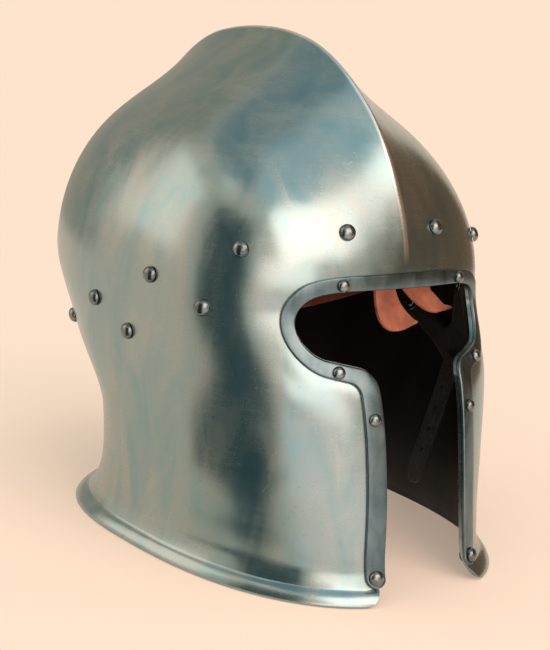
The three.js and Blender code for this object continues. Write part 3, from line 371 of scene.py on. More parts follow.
class Bench:
    """Mesh operations shared by the pieces."""

    sheet_segments = 2
    sheet_edge_angle = 50.0
    sheet_smooth_angle = 45.0
    thread_smooth_angle = 60.0

    @staticmethod
    def clear_selection() -> None:
        """Leave edit mode and deselect everything."""
        if bpy.context.object and bpy.context.object.mode != "OBJECT":
            bpy.ops.object.mode_set(mode="OBJECT")
        bpy.ops.object.select_all(action="DESELECT")

    @classmethod
    def pick(cls, piece: Piece) -> None:
        """Make a piece the only selected and the active one."""
        cls.clear_selection()
        piece.select_set(True)
        bpy.context.view_layer.objects.active = piece

    @classmethod
    def edit(cls, piece: Piece, *steps: Callable[[], object]) -> None:
        """Run mesh operators on a piece in edit mode, with everything selected at the start."""
        cls.pick(piece)
        bpy.ops.object.mode_set(mode="EDIT")
        bpy.ops.mesh.select_all(action="SELECT")
        for step in steps:
            step()
        bpy.ops.object.mode_set(mode="OBJECT")

    @staticmethod
    def add(name: str, data: bpy.types.ID) -> Piece:
        """A new object of the scene for a mesh, camera or lamp."""
        piece = bpy.data.objects.new(name, data)
        bpy.context.scene.collection.objects.link(piece)
        return piece

    @classmethod
    def add_faces(cls, name: str, spots: np.ndarray, faces: list[tuple[int, ...]]) -> Piece:
        """A new mesh object from points in metres and faces."""
        mesh = bpy.data.meshes.new(name)
        mesh.from_pydata(spots.tolist(), [], faces)
        return cls.add(name, mesh)

    @staticmethod
    def named(name: str) -> Piece:
        """The object that an operator has just made, named with its mesh."""
        piece = bpy.context.object
        piece.name = name
        piece.data.name = name
        return piece

    @classmethod
    def grid(cls, name: str, points: np.ndarray, slots: list[int] | None = None) -> Piece:
        """A primitive grid shaped to rows and columns of points, with what coincides merged.

        Args:
            name: name of the piece.
            points: rows by columns of points in metres.
            slots: the material slot of each row of faces.

        Returns:
            The new mesh object at the origin.
        """
        rows, columns = points.shape[:2]
        cls.clear_selection()
        bpy.ops.mesh.primitive_grid_add(x_subdivisions=columns - 1, y_subdivisions=rows - 1, size=1)
        piece = cls.named(name)
        piece.data.vertices.foreach_set("co", np.ascontiguousarray(points, dtype=np.float32).ravel())
        if slots is not None:
            each_face = np.repeat(slots, columns - 1).astype(np.int32)
            piece.data.polygons.foreach_set("material_index", each_face)
        piece.data.update()
        cls.merge(piece)
        return piece

    @classmethod
    def merge(cls, piece: Piece) -> None:
        """Merge the points of a piece that coincide."""
        cls.edit(piece, lambda: bpy.ops.mesh.remove_doubles(threshold=MERGE_REACH))

    @classmethod
    def close_ends(cls, piece: Piece) -> None:
        """Fill the open ends of a tube."""
        cls.edit(
            piece,
            lambda: bpy.ops.mesh.select_all(action="DESELECT"),
            lambda: bpy.ops.mesh.select_non_manifold(),
            lambda: bpy.ops.mesh.fill_holes(sides=0),
        )

    @staticmethod
    def volume(piece: Piece) -> float:
        """The signed volume inside a closed mesh."""
        mesh = piece.data
        mesh.calc_loop_triangles()
        spots = np.empty(len(mesh.vertices) * 3, np.float32)
        mesh.vertices.foreach_get("co", spots)
        spots = spots.reshape(-1, 3).astype(float)
        corners = np.empty(len(mesh.loop_triangles) * 3, np.int32)
        mesh.loop_triangles.foreach_get("vertices", corners)
        a, b, c = spots[corners.reshape(-1, 3)].transpose(1, 0, 2)
        return float(np.einsum("ij,ij->i", a, np.cross(b, c)).sum() / 6)

    @classmethod
    def face_outwards(cls, piece: Piece) -> None:
        """Turn a closed mesh right side out."""
        if cls.volume(piece) < 0:
            piece.data.flip_normals()

    @classmethod
    def finish_with(cls, piece: Piece, kind: str, **settings: object) -> None:
        """Add a modifier with these settings and apply it."""
        cls.pick(piece)
        modifier = piece.modifiers.new(kind.title(), kind)
        for key, value in settings.items():
            setattr(modifier, key, value)
        bpy.ops.object.modifier_apply(modifier=modifier.name)

    @classmethod
    def bevel(cls, piece: Piece, width: float, segments: int, degrees: float) -> None:
        """Round the edges that are sharper than an angle, by a width in millimetres."""
        cls.finish_with(piece, "BEVEL", width=width * MM, segments=segments, limit_method="ANGLE",
                        angle_limit=math.radians(degrees))

    @classmethod
    def thicken(cls, sheet: Piece, thickness: float, edge: float, even: bool) -> None:
        """Give a leather sheet its thickness and soft edges.

        Args:
            sheet: the sheet, whose faces look away from the side that it grows to.
            thickness: in millimetres.
            edge: how far the edges are rounded, in millimetres.
            even: whether the thickness is kept even over bends.
        """
        cls.finish_with(sheet, "SOLIDIFY", thickness=thickness * MM, offset=-1.0, use_even_offset=even,
                        use_rim=True, material_offset_rim=1)
        cls.bevel(sheet, edge, cls.sheet_segments, cls.sheet_edge_angle)
        cls.complete(sheet, cls.sheet_smooth_angle)

    @classmethod
    def smooth(cls, piece: Piece, degrees: float) -> None:
        """Shade smooth, except over edges sharper than an angle."""
        cls.pick(piece)
        bpy.ops.object.shade_smooth_by_angle(angle=math.radians(degrees))

    @classmethod
    def complete(cls, piece: Piece, degrees: float, *materials: bpy.types.Material) -> Piece:
        """Turn a closed piece right side out, shade it smooth and dress it."""
        cls.face_outwards(piece)
        cls.smooth(piece, degrees)
        dress(piece, *materials)
        return piece

    @classmethod
    def copy_of(cls, piece: Piece, name: str) -> Piece:
        """A copy with its own mesh, its points merged."""
        twin = cls.add(name, piece.data.copy())
        twin.data.name = name
        twin.hide_render = False
        twin.hide_viewport = False
        cls.merge(twin)
        return twin

    @classmethod
    def lathe(cls, name: str, profile: list[tuple[float, float]], sides: int) -> Piece:
        """A turned solid: a filled circle extruded and resized along a profile.

        Args:
            name: name of the piece.
            profile: radii and heights in millimetres, the first and last on solid ends.
            sides: number of sides.

        Returns:
            The closed solid about Z.
        """
        radius, height = profile[0]
        cls.clear_selection()
        bpy.ops.mesh.primitive_circle_add(
            vertices=sides, radius=radius * MM, fill_type="NGON", location=(0, 0, height * MM)
        )
        piece = cls.named(name)
        bpy.ops.object.transform_apply(location=True, rotation=True, scale=True)
        bpy.ops.object.mode_set(mode="EDIT")
        bpy.ops.mesh.select_all(action="SELECT")
        for next_radius, next_height in profile[1:]:
            rise = (next_height - height) * MM
            bpy.ops.mesh.extrude_region_move(TRANSFORM_OT_translate={"value": (0, 0, rise)})
            ratio = next_radius / radius
            bpy.ops.transform.resize(value=(ratio, ratio, 1), center_override=(0, 0, next_height * MM))
            radius = next_radius
            height = next_height
        bpy.ops.object.mode_set(mode="OBJECT")
        cls.face_outwards(piece)
        return piece

    @classmethod
    def sew(cls, name: str, length: float, places: list[Matrix], thread: bpy.types.Material) -> Piece:
        """Make one mesh with a low rounded stitch at each place.

        Args:
            name: name of the piece.
            length: length of a stitch along its X, in millimetres.
            places: where each stitch goes.
            thread: the material.

        Returns:
            The joined piece.
        """
        cls.clear_selection()
        bpy.ops.mesh.primitive_uv_sphere_add(segments=8, ring_count=6, radius=THREAD_WIDTH / 2 * MM)
        seed = cls.named("stitch_pattern")
        spots = np.array([tuple(v.co) for v in seed.data.vertices]) * np.array([length, 1, STITCH_FLATNESS])
        faces = [tuple(face.vertices) for face in seed.data.polygons]
        count = len(spots)
        all_spots = []
        all_faces = []
        for k, place in enumerate(places):
            turn = np.array(place.to_3x3())
            all_spots.append(spots @ turn.T + np.array(place.translation))
            all_faces += [tuple(v + k * count for v in face) for face in faces]
        piece = cls.add_faces(name, np.concatenate(all_spots), all_faces)
        bpy.data.objects.remove(seed)
        return cls.complete(piece, cls.thread_smooth_angle, thread)


def dress(piece: Piece, *materials: bpy.types.Material) -> None:
    """Give a piece its materials, keeping the faces' slots."""
    if len(piece.data.materials) == 0:
        for material in materials:
            piece.data.materials.append(material)
        return
    for slot, material in zip(piece.material_slots, materials):
        slot.material = material


@dataclass(frozen=True)
class Noise:
    """A stretched noise: its scale along X, Y and Z, its detail, roughness, distortion and turn."""

    scale: tuple[float, float, float]
    detail: float
    roughness: float = 0.5
    distortion: float = 0.0
    turn: tuple[float, float, float] = (0.0, 0.0, 0.0)


class Wiring:
    """Adds nodes to one tree and links them."""

    def __init__(self, tree: bpy.types.NodeTree) -> None:
        """Start with an empty tree."""
        self.tree = tree
        self.tree.nodes.clear()

    def add(self, kind: str, **settings: object) -> bpy.types.Node:
        """Add a node with these properties set."""
        node = self.tree.nodes.new(kind)
        for key, value in settings.items():
            setattr(node, key, value)
        return node

    def link(self, start: Socket, end: Socket) -> None:
        """Link an output to an input."""
        self.tree.links.new(start, end)

    def feed(self, end: Socket, value: Socket | Colour | float) -> None:
        """Link an input to an output, or set its colour or number."""
        if isinstance(value, bpy.types.NodeSocket):
            self.link(value, end)
        elif isinstance(value, tuple):
            end.default_value = (*value, 1.0)
        else:
            end.default_value = value

    def noise(self, source: Socket, plan: Noise) -> Socket:
        """A noise value from a vector."""
        mapping = self.add("ShaderNodeMapping")
        mapping.inputs["Scale"].default_value = plan.scale
        mapping.inputs["Rotation"].default_value = plan.turn
        self.link(source, mapping.inputs["Vector"])
        node = self.add("ShaderNodeTexNoise")
        node.inputs["Scale"].default_value = 1.0
        for key in ("detail", "roughness", "distortion"):
            node.inputs[key.title()].default_value = getattr(plan, key)
        self.link(mapping.outputs["Vector"], node.inputs["Vector"])
        return node.outputs["Fac"]

    def range(self, source: Socket, low: float, high: float, to_low: float, to_high: float) -> Socket:
        """Map a value from one range to another, clamped."""
        node = self.add("ShaderNodeMapRange")
        ends = {"From Min": low, "From Max": high, "To Min": to_low, "To Max": to_high}
        for key, value in ends.items():
            node.inputs[key].default_value = value
        self.link(source, node.inputs["Value"])
        return node.outputs["Result"]

    def blend(self, factor: Socket | float, first: Socket | Colour, second: Socket | Colour,
              kind: str = "MIX") -> Socket:
        """Mix two colours by a factor."""
        node = self.add("ShaderNodeMix", data_type="RGBA", blend_type=kind)
        self.feed(node.inputs["Factor"], factor)
        colours = [socket for socket in node.inputs if socket.type == "RGBA"]
        for socket, value in zip(colours, (first, second)):
            self.feed(socket, value)
        return next(socket for socket in node.outputs if socket.type == "RGBA")

    def math(self, operation: str, first: Socket | float, second: Socket | float = 0.0) -> Socket:
        """A Math node on one or two values."""
        node = self.add("ShaderNodeMath", operation=operation)
        for socket, value in zip(node.inputs, (first, second)):
            self.feed(socket, value)
        return node.outputs[0]

    def bump(self, height: Socket, distance: float, strength: float, under: Socket | None = None) -> Socket:
        """A Bump node, on top of another normal where one is given."""
        node = self.add("ShaderNodeBump")
        node.inputs["Distance"].default_value = distance
        node.inputs["Strength"].default_value = strength
        self.link(height, node.inputs["Height"])
        if under is not None:
            self.link(under, node.inputs["Normal"])
        return node.outputs["Normal"]

    def light(self, kind: str, colour: Colour, strength: float = 1.0) -> Socket:
        """The light of a Background or Emission node."""
        node = self.add(kind)
        self.feed(node.inputs["Color"], colour)
        node.inputs["Strength"].default_value = strength
        return node.outputs[0]

    def clear_rays(self) -> Socket:
        """1 for what the camera sees straight, reflected or through, and 0 for other light."""
        path = self.add("ShaderNodeLightPath").outputs
        direct = self.math("MAXIMUM", path["Is Camera Ray"], path["Is Glossy Ray"])
        return self.math("MAXIMUM", direct, path["Is Transmission Ray"])

    def mix_shaders(self, factor: Socket, first: Socket, second: Socket) -> Socket:
        """Mix two shaders by a factor."""
        node = self.add("ShaderNodeMixShader")
        for socket, value in zip(node.inputs, (factor, first, second)):
            self.link(value, socket)
        return node.outputs[0]


class SharedEffect:
    """A shader node group that several materials use, built once."""

    label = "effect"
    outputs: tuple[str, ...] = ()

    def tree(self) -> bpy.types.NodeTree:
        """The group, made on its first use."""
        known = bpy.data.node_groups.get(self.label)
        if known:
            return known
        group = bpy.data.node_groups.new(self.label, "ShaderNodeTree")
        group.interface.new_socket(name="Vector", in_out="INPUT", socket_type="NodeSocketVector")
        scale = group.interface.new_socket(name="Scale", in_out="INPUT", socket_type="NodeSocketFloat")
        scale.default_value = 1.0
        for name in self.outputs:
            group.interface.new_socket(name=name, in_out="OUTPUT", socket_type="NodeSocketFloat")
        wiring = Wiring(group)
        start = wiring.add("NodeGroupInput")
        end = wiring.add("NodeGroupOutput")
        sized = wiring.add("ShaderNodeVectorMath", operation="SCALE")
        wiring.link(start.outputs["Vector"], sized.inputs[0])
        wiring.link(start.outputs["Scale"], sized.inputs["Scale"])
        for name, value in self.values(wiring, sized.outputs[0]).items():
            wiring.link(value, end.inputs[name])
        return group

    def values(self, wiring: Wiring, source: Socket) -> dict[str, Socket]:
        """Build the group's nodes on its scaled vector and give the value of each output."""
        raise NotImplementedError

    def place(self, wiring: Wiring, source: Socket, scale: float) -> bpy.types.bpy_prop_collection:
        """Put the group into a material, fed with object coordinates, and give its outputs."""
        node = wiring.add("ShaderNodeGroup", node_tree=self.tree())
        wiring.link(source, node.inputs["Vector"])
        node.inputs["Scale"].default_value = scale
        return node.outputs


class BrushMarks(SharedEffect):
    """Marks of polishing: fine lines round the plate, crossing scratches, soft clouds and low dents."""

    label = "brush_marks"
    outputs = ("Lines", "Scratches", "Clouds", "Dents")
    level = Noise((45, 45, 700), 4.0, 0.55, 0.6)
    level_weight = 0.7
    upright = Noise((420, 420, 40), 4.0, 0.55, 0.6)
    upright_weight = 0.3
    crossing = Noise((38, 420, 420), 3.0, 0.7, 1.2, (0.9, 0.5, 0.3))
    crossing_span = (0.66, 0.72)
    clouds = Noise((42, 42, 15), 5.0, 0.55, 0.8)
    dents = Noise((22, 22, 16), 2.0, 0.45)

    def values(self, wiring: Wiring, source: Socket) -> dict[str, Socket]:
        """Build the marks from stretched noises."""
        level = wiring.math("MULTIPLY", wiring.noise(source, self.level), self.level_weight)
        upright = wiring.math("MULTIPLY", wiring.noise(source, self.upright), self.upright_weight)
        crossing = wiring.noise(source, self.crossing)
        return {
            "Lines": wiring.math("ADD", level, upright),
            "Scratches": wiring.range(crossing, *self.crossing_span, 0, 1),
            "Clouds": wiring.noise(source, self.clouds),
            "Dents": wiring.noise(source, self.dents),
        }


class LeatherGrain(SharedEffect):
    """The pebbled grain of leather, its stretch creases and its uneven dye."""

    label = "leather_grain"
    outputs = ("Pebbles", "Creases", "Dye")
    cell_scale = 900
    cell_edge = 0.25
    creases = Noise((160, 160, 70), 6.0, 0.6, 1.5)
    dye = Noise((75, 75, 75), 5.0, 0.6, 0.8)

    def values(self, wiring: Wiring, source: Socket) -> dict[str, Socket]:
        """Build the grain from cells and noises."""
        cells = wiring.add("ShaderNodeTexVoronoi", feature="DISTANCE_TO_EDGE")
        cells.inputs["Scale"].default_value = self.cell_scale
        wiring.link(source, cells.inputs["Vector"])
        return {
            "Pebbles": wiring.range(cells.outputs["Distance"], 0.0, self.cell_edge, 0, 1),
            "Creases": wiring.noise(source, self.creases),
            "Dye": wiring.noise(source, self.dye),
        }


class Draft:
    """A new material with the parts that every finish starts from."""

    def __init__(self, name: str) -> None:
        """Start the material with only its output."""
        self.material = bpy.data.materials.new(name)
        self.material.use_nodes = True
        self.wiring = Wiring(self.material.node_tree)
        self.surface = self.wiring.add("ShaderNodeOutputMaterial").inputs["Surface"]

    def place(self) -> Socket:
        """The object coordinates."""
        return self.wiring.add("ShaderNodeTexCoord").outputs["Object"]

    def principled(self, constants: dict[str, float]) -> bpy.types.bpy_prop_collection:
        """Show a Principled shader with these constants, and give its inputs."""
        shader = self.wiring.add("ShaderNodeBsdfPrincipled")
        for key, value in constants.items():
            shader.inputs[key].default_value = value
        self.wiring.link(shader.outputs["BSDF"], self.surface)
        return shader.inputs


@dataclass(frozen=True)
class SteelFinish:
    """Polished steel, or near-black steel for the inner faces, with brush marks, clouds, scratches and low
    dents, and on the skull a painted highlight along the comb.
    """

    name: str
    colour: Colour
    shade: Colour
    roughness: tuple[float, float]
    line_bump: float
    dent_bump: float
    scale: float = 1.0
    metallic: float = 1.0
    line_tone: float = 0.92
    # A painted highlight along the comb: its colour, its width, the height where it starts and its fade.
    crest_highlight: Colour | None = None
    crest_highlight_reach: float = 0.0022
    crest_highlight_foot: float = 0.165
    crest_highlight_fade: float = 0.01
    cloud_span: tuple[float, float] = (0.32, 0.68)
    line_span: tuple[float, float] = (0.35, 0.65)
    line_wear: float = 0.5
    scratch_wear: float = 0.25
    wear_span: tuple[float, float] = (0.55, 1.05)
    line_strength: float = 0.6
    scratch_bump: float = -0.00004
    scratch_strength: float = 0.35

    def crest_highlight_mask(self, wiring: Wiring, place: Socket) -> Socket:
        """1 on the narrow line along the comb where a highlight is painted, and 0 beside and below it."""
        parts = wiring.add("ShaderNodeSeparateXYZ")
        wiring.link(place, parts.inputs[0])
        side = wiring.math("ABSOLUTE", parts.outputs["X"])
        line = wiring.range(side, self.crest_highlight_reach / 2, self.crest_highlight_reach, 1, 0)
        full = self.crest_highlight_foot + self.crest_highlight_fade
        above = wiring.range(parts.outputs["Z"], self.crest_highlight_foot, full, 0, 1)
        return wiring.math("MULTIPLY", line, above)

    def make(self) -> bpy.types.Material:
        """Build the material."""
        draft = Draft(self.name)
        wiring = draft.wiring
        shader = draft.principled({"Metallic": self.metallic})
        place = draft.place()
        marks = BrushMarks().place(wiring, place, self.scale)
        tone = wiring.range(marks["Clouds"], *self.cloud_span, 0, 1)
        colour = wiring.blend(tone, self.shade, self.colour)
        # The bright line along the comb is a painted highlight blended over the steel's colour.
        if self.crest_highlight is not None:
            colour = wiring.blend(self.crest_highlight_mask(wiring, place), colour, self.crest_highlight)
        streak = wiring.range(marks["Lines"], *self.line_span, self.line_tone, 1.0)
        grey = wiring.add("ShaderNodeCombineColor")
        for key in ("Red", "Green", "Blue"):
            wiring.link(streak, grey.inputs[key])
        toned = wiring.blend(1.0, colour, grey.outputs["Color"], "MULTIPLY")
        wiring.link(toned, shader["Base Color"])
        soft = wiring.math("ADD", wiring.math("MULTIPLY", marks["Lines"], self.line_wear), marks["Clouds"])
        worn = wiring.math("ADD", soft, wiring.math("MULTIPLY", marks["Scratches"], self.scratch_wear))
        wiring.link(wiring.range(worn, *self.wear_span, *self.roughness), shader["Roughness"])
        dents = wiring.bump(marks["Dents"], self.dent_bump, 1.0)
        lines = wiring.bump(marks["Lines"], self.line_bump, self.line_strength, dents)
        cuts = wiring.bump(marks["Scratches"], self.scratch_bump, self.scratch_strength, lines)
        wiring.link(cuts, shader["Normal"])
        return draft.material


@dataclass(frozen=True)
class LeatherFinish:
    """Dyed leather with grain, creases and uneven colour."""

    name: str
    colour: Colour
    dark: Colour
    roughness: tuple[float, float]
    grain: float
    scale: float = 1.0
    sheen: float = 0.15
    sheen_roughness: float = 0.5
    dye_span: tuple[float, float] = (0.36, 0.62)
    pit_darkening: float = 0.35
    crease_span: tuple[float, float] = (0.35, 0.65)
    crease_share: float = 2.5
    crease_strength: float = 0.5
    grain_strength: float = 0.6

    def make(self) -> bpy.types.Material:
        """Build the material."""
        draft = Draft(self.name)
        wiring = draft.wiring
        shader = draft.principled({"Sheen Weight": self.sheen, "Sheen Roughness": self.sheen_roughness})
        grain = LeatherGrain().place(wiring, draft.place(), self.scale)
        tone = wiring.range(grain["Dye"], *self.dye_span, 0, 1)
        colour = wiring.blend(tone, self.dark, self.colour)
        # The colour is pulled towards the dark tone in the creases between the pebbles.
        pits = wiring.range(grain["Pebbles"], 0, 1, self.pit_darkening, 0)
        wiring.link(wiring.blend(pits, colour, self.dark), shader["Base Color"])
        low, high = self.roughness
        wiring.link(wiring.range(grain["Creases"], *self.crease_span, high, low), shader["Roughness"])
        creases = wiring.bump(grain["Creases"], self.grain * self.crease_share, self.crease_strength)
        pebbles = wiring.bump(grain["Pebbles"], self.grain, self.grain_strength, creases)
        wiring.link(pebbles, shader["Normal"])
        return draft.material


@dataclass(frozen=True)
class ThreadFinish:
    """Waxed linen thread with a fine twist."""

    name: str
    colour: Colour
    dark: Colour
    roughness: float = 0.7
    twist: Noise = Noise((2600, 1400, 2600), 2.0)
    twist_span: tuple[float, float] = (0.4, 0.6)
    twist_bump: float = 0.0001
    twist_strength: float = 0.5

    def make(self) -> bpy.types.Material:
        """Build the material."""
        draft = Draft(self.name)
        wiring = draft.wiring
        shader = draft.principled({"Roughness": self.roughness})
        twist = wiring.noise(draft.place(), self.twist)
        tone = wiring.range(twist, *self.twist_span, 0, 1)
        wiring.link(wiring.blend(tone, self.dark, self.colour), shader["Base Color"])
        wiring.link(wiring.bump(twist, self.twist_bump, self.twist_strength), shader["Normal"])
        return draft.material


class FinishSet:
    """Every finish of the helmet, made once."""

    def __init__(self) -> None:
        """Build the materials."""
        self.steel = SteelFinish(
            "skull_steel", (0.36, 0.43, 0.42), (0.23, 0.37, 0.40), (0.20, 0.33), 0.000002, 0.0009,
            # The crest colour is a painted highlight along the comb.
            line_tone=0.96, crest_highlight=(0.78, 0.82, 0.82),
        ).make()
        self.band = SteelFinish(
            "band_steel", (0.19, 0.26, 0.28), (0.08, 0.13, 0.15), (0.24, 0.40), 0.00001, 0.0004,
            scale=1.6, line_tone=0.88,
        ).make()
        self.rivet = SteelFinish(
            "rivet_steel", (0.26, 0.30, 0.30), (0.12, 0.15, 0.16), (0.16, 0.28), 0.00001, 0.0001, scale=3.0
        ).make()
        # The inner faces are near black, far darker than the outer steel.
        self.inside = SteelFinish(
            "near_black_inner_steel", (0.006, 0.008, 0.009), (0.003, 0.004, 0.004), (0.5, 0.7), 0.00003, 0.0005,
            metallic=0.2,
        ).make()
        self.liner = LeatherFinish(
            "tanned_leather", (0.60, 0.20, 0.105), (0.36, 0.10, 0.05), (0.5, 0.7), 0.00012
        ).make()
        self.cut_edge = LeatherFinish(
            "cut_leather_edge", (0.66, 0.13, 0.06), (0.42, 0.07, 0.03), (0.7, 0.85), 0.0002, scale=2.0
        ).make()
        self.strap = LeatherFinish(
            "black_strap_leather", (0.011, 0.010, 0.009), (0.005, 0.005, 0.004), (0.45, 0.65), 0.0001
        ).make()
        self.thread = ThreadFinish("waxed_thread", (0.50, 0.42, 0.30), (0.26, 0.21, 0.14)).make()
        self.dark_thread = ThreadFinish("black_thread", (0.022, 0.019, 0.017), (0.010, 0.009, 0.008)).make()


@dataclass
class Skull:
    """The raised steel skull with its comb, rolled rim and face opening."""

    form: HelmetForm
    finishes: FinishSet
    roll_radius: float = 3.5
    roll_depth: float = 2.1
    roll_seat_share: float = 0.9
    roll_turn_share: float = 0.7
    roll_steps: int = 14
    crease_share: float = 1.2
    crease_step: float = 0.0025
    wall_rows: int = 66
    crown_rows: int = 56
    inner_share: float = 0.5
    toe_girth: float = 43.0
    toe_steps: int = 14
    outer_overrun: float = 40.0
    inner_overrun: float = 14.0
    columns_per_octant: int = 32
    smooth_angle: float = 35.0

    def levels(self, share: float) -> np.ndarray:
        """Levels from the top of the rolled rim to the crown, with a share of the rows."""
        low = self.roll_radius * (self.crease_share + self.roll_seat_share) / self.form.temple_height
        wall = np.linspace(low, 1, int(self.wall_rows * share) + 1)
        crown = np.linspace(1, 2, int(self.crown_rows * share) + 1)[1:]
        crease = np.array([low, low + self.crease_step])
        return np.concatenate([crease, wall[1:], crown])

    def roll(self, turns: np.ndarray) -> list[np.ndarray]:
        """Rows of points round the rolled rim, from its seat up to its crease."""
        first = -math.asin(self.roll_seat_share)
        last = QUARTER * self.roll_turn_share
        rows = []
        for k in range(self.roll_steps + 1):
            turn = first + k / self.roll_steps * (last - first)
            height = self.roll_radius * (self.roll_seat_share + math.sin(turn))
            bulge = self.roll_depth * math.cos(turn)
            rows.append(self.form.skull_point(turns, max(0, height) / self.form.temple_height, 0.0, bulge))
        return rows

    def build(self) -> Piece:
        """Build the shell, cut the opening and dress it."""
        form = self.form
        turns = form.columns(self.columns_per_octant)
        inner = self.levels(self.inner_share)[::-1]
        rows = [form.skull_point(turns, level, form.thickness) for level in inner]
        rows.append(form.skull_point(turns, 0.0, form.thickness))
        dark_rows = len(rows)
        rows += self.roll(turns)
        rows += [form.skull_point(turns, level) for level in self.levels(1)]
        slots = [1] * dark_rows + [0] * (len(rows) - 1 - dark_rows)
        shell = Bench.grid("skull_plate", form.to_scene(np.stack(rows)), slots)
        Bench.face_outwards(shell)
        dress(shell, self.finishes.steel, self.finishes.inside)
        cutter = self.opening_cutter()
        Bench.finish_with(shell, "BOOLEAN", operation="DIFFERENCE", object=cutter, solver="EXACT")
        bpy.data.objects.remove(cutter)
        Bench.smooth(shell, self.smooth_angle)
        return shell

    def opening_cutter(self) -> Piece:
        """The face opening as a solid whose walls stand square to the plate."""
        form = self.form
        side = form.opening_line()
        foot = side[-1]
        toe = np.array([self.toe_girth, 0.0])
        heel = np.array([foot[0], self.roll_radius])
        below = np.array([self.toe_girth, -self.inner_overrun])
        half = np.concatenate([side, curve(foot, heel, toe, self.toe_steps), [below]])
        outline = np.concatenate([half, half[1:][::-1] * np.array([-1, 1])])
        triangles = tessellate_polygon([[Vector((girth, height, 0)) for girth, height in outline]])
        outside = form.plate_point(outline[:, 0], outline[:, 1], -self.outer_overrun)
        inside = form.plate_point(outline[:, 0], outline[:, 1], self.inner_overrun)
        count = len(outline)
        faces = [(a, b, c) for a, b, c in triangles]
        faces += [(a + count, c + count, b + count) for a, b, c in triangles]
        for k in range(count):
            after = (k + 1) % count
            faces.append((k, k + count, after + count, after))
        spots = form.to_scene(np.concatenate([outside, inside]))
        cutter = Bench.add_faces("opening_cutter", spots, faces)
        Bench.edit(cutter, lambda: bpy.ops.mesh.normals_make_consistent(inside=False))
        Bench.face_outwards(cutter)
        return cutter


@dataclass
class FaceBand:
    """The applied steel strip round the face opening, with a round foot on each side."""

    form: HelmetForm
    finishes: FinishSet
    width: float = 7.6
    cheek_width: float = 10.6
    thickness: float = 1.8
    seat_gap: float = 0.3
    edge_round: float = 0.75
    edge_points: int = 5
    corner_radius: float = 6.0
    end_radius: float = 5.3
    end_drop: float = 4.2
    end_steps: int = 12
    tip_steps: float = 0.6
    foot_height: float = 12.6
    foot_steps: int = 8
    crown: float = 0.12
    crown_shares: tuple = (0.25, 0.5, 0.75)
    under_shares: tuple = (1.0, 0.66, 0.33, 0.0)
    smooth_angle: float = 42.0

    def build(self) -> Piece:
        """Loft the strip along the opening and dress it."""
        edge = list(self.form.opening_line())
        outer = list(self.form.face_line(self.width, self.cheek_width, self.corner_radius))
        middle = self.form.cheek_foot_girth + self.cheek_width / 2
        for line, across in ((edge, -self.end_radius), (outer, self.end_radius)):
            end = np.array([middle + across, self.foot_height])
            line += straight(line[-1], end, self.foot_steps)[:-1]
        for k in range(self.end_steps):
            turn = k / (self.end_steps - self.tip_steps) * QUARTER
            across = self.end_radius * math.cos(turn)
            down = self.foot_height - self.end_drop * math.sin(turn)
            edge.append(np.array([middle - across, down]))
            outer.append(np.array([middle + across, down]))
        pairs = np.stack([np.array(edge), np.array(outer)], axis=1)
        stations = np.concatenate([pairs[1:][::-1] * np.array([-1, 1]), pairs])
        rings = [self.section(inner, outside) for inner, outside in stations]
        band = Bench.grid("face_band_strip", self.form.to_scene(np.stack(rings)))
        Bench.close_ends(band)
        return Bench.complete(band, self.smooth_angle, self.finishes.band)

    def section(self, inner: np.ndarray, outside: np.ndarray) -> np.ndarray:
        """One closed section of the strip between a point of its inner and outer line."""
        width = float(np.linalg.norm(outside - inner))
        under = -self.seat_gap
        top = under - self.thickness
        turns = np.linspace(0, QUARTER, self.edge_points)
        runs = self.edge_round * (1 - np.cos(turns)) / width
        rises = top + self.edge_round * (1 - np.sin(turns))
        crown = [top - self.crown * (1 - (2 * share - 1) ** 2) for share in self.crown_shares]
        shares = [0.0, *runs, *self.crown_shares, *(1 - runs[::-1]), *self.under_shares]
        depths = [under, *rises, *crown, *rises[::-1], *[under] * len(self.under_shares)]
        spots = inner[None] + (outside - inner)[None] * np.array(shares)[:, None]
        return self.form.plate_point(spots[:, 0], spots[:, 1], np.array(depths))


@dataclass
class RivetPlace:
    """Where a turned CAD node stands: its axis, the height of its widest ring and its ends."""

    origin: Vector
    axis: Vector
    radius: float
    bottom: float
    widest_share = 0.97

    @classmethod
    def read(cls, node: Piece, centre: Vector) -> "RivetPlace":
        """Read the place from the node's mesh.

        Args:
            node: a node with a turned shape.
            centre: a point well inside the helmet, so that the axis points away from it.

        Returns:
            The place, in metres.
        """
        spots = np.array([tuple(v.co) for v in node.data.vertices])
        unique = np.unique(np.round(spots, 6), axis=0)
        middle = unique.mean(axis=0)
        values, vectors = np.linalg.eigh(np.cov((unique - middle).T))
        lone = 0 if values[1] - values[0] > values[2] - values[1] else 2
        axis = vectors[:, lone]
        if np.dot(axis, middle - np.array(centre)) < 0:
            axis = -axis
        along = (unique - middle) @ axis
        across = np.linalg.norm((unique - middle) - along[:, None] * axis, axis=1)
        base = float(along[across > across.max() * cls.widest_share].max())
        origin = Vector(middle + axis * base)
        return cls(origin, Vector(axis), float(across.max()), float(along.min()) - base)

    def matrix(self) -> Matrix:
        """Turns Z to the axis and moves to the widest ring."""
        turn = Vector((0, 0, 1)).rotation_difference(self.axis).to_matrix().to_4x4()
        return Matrix.Translation(self.origin) @ turn


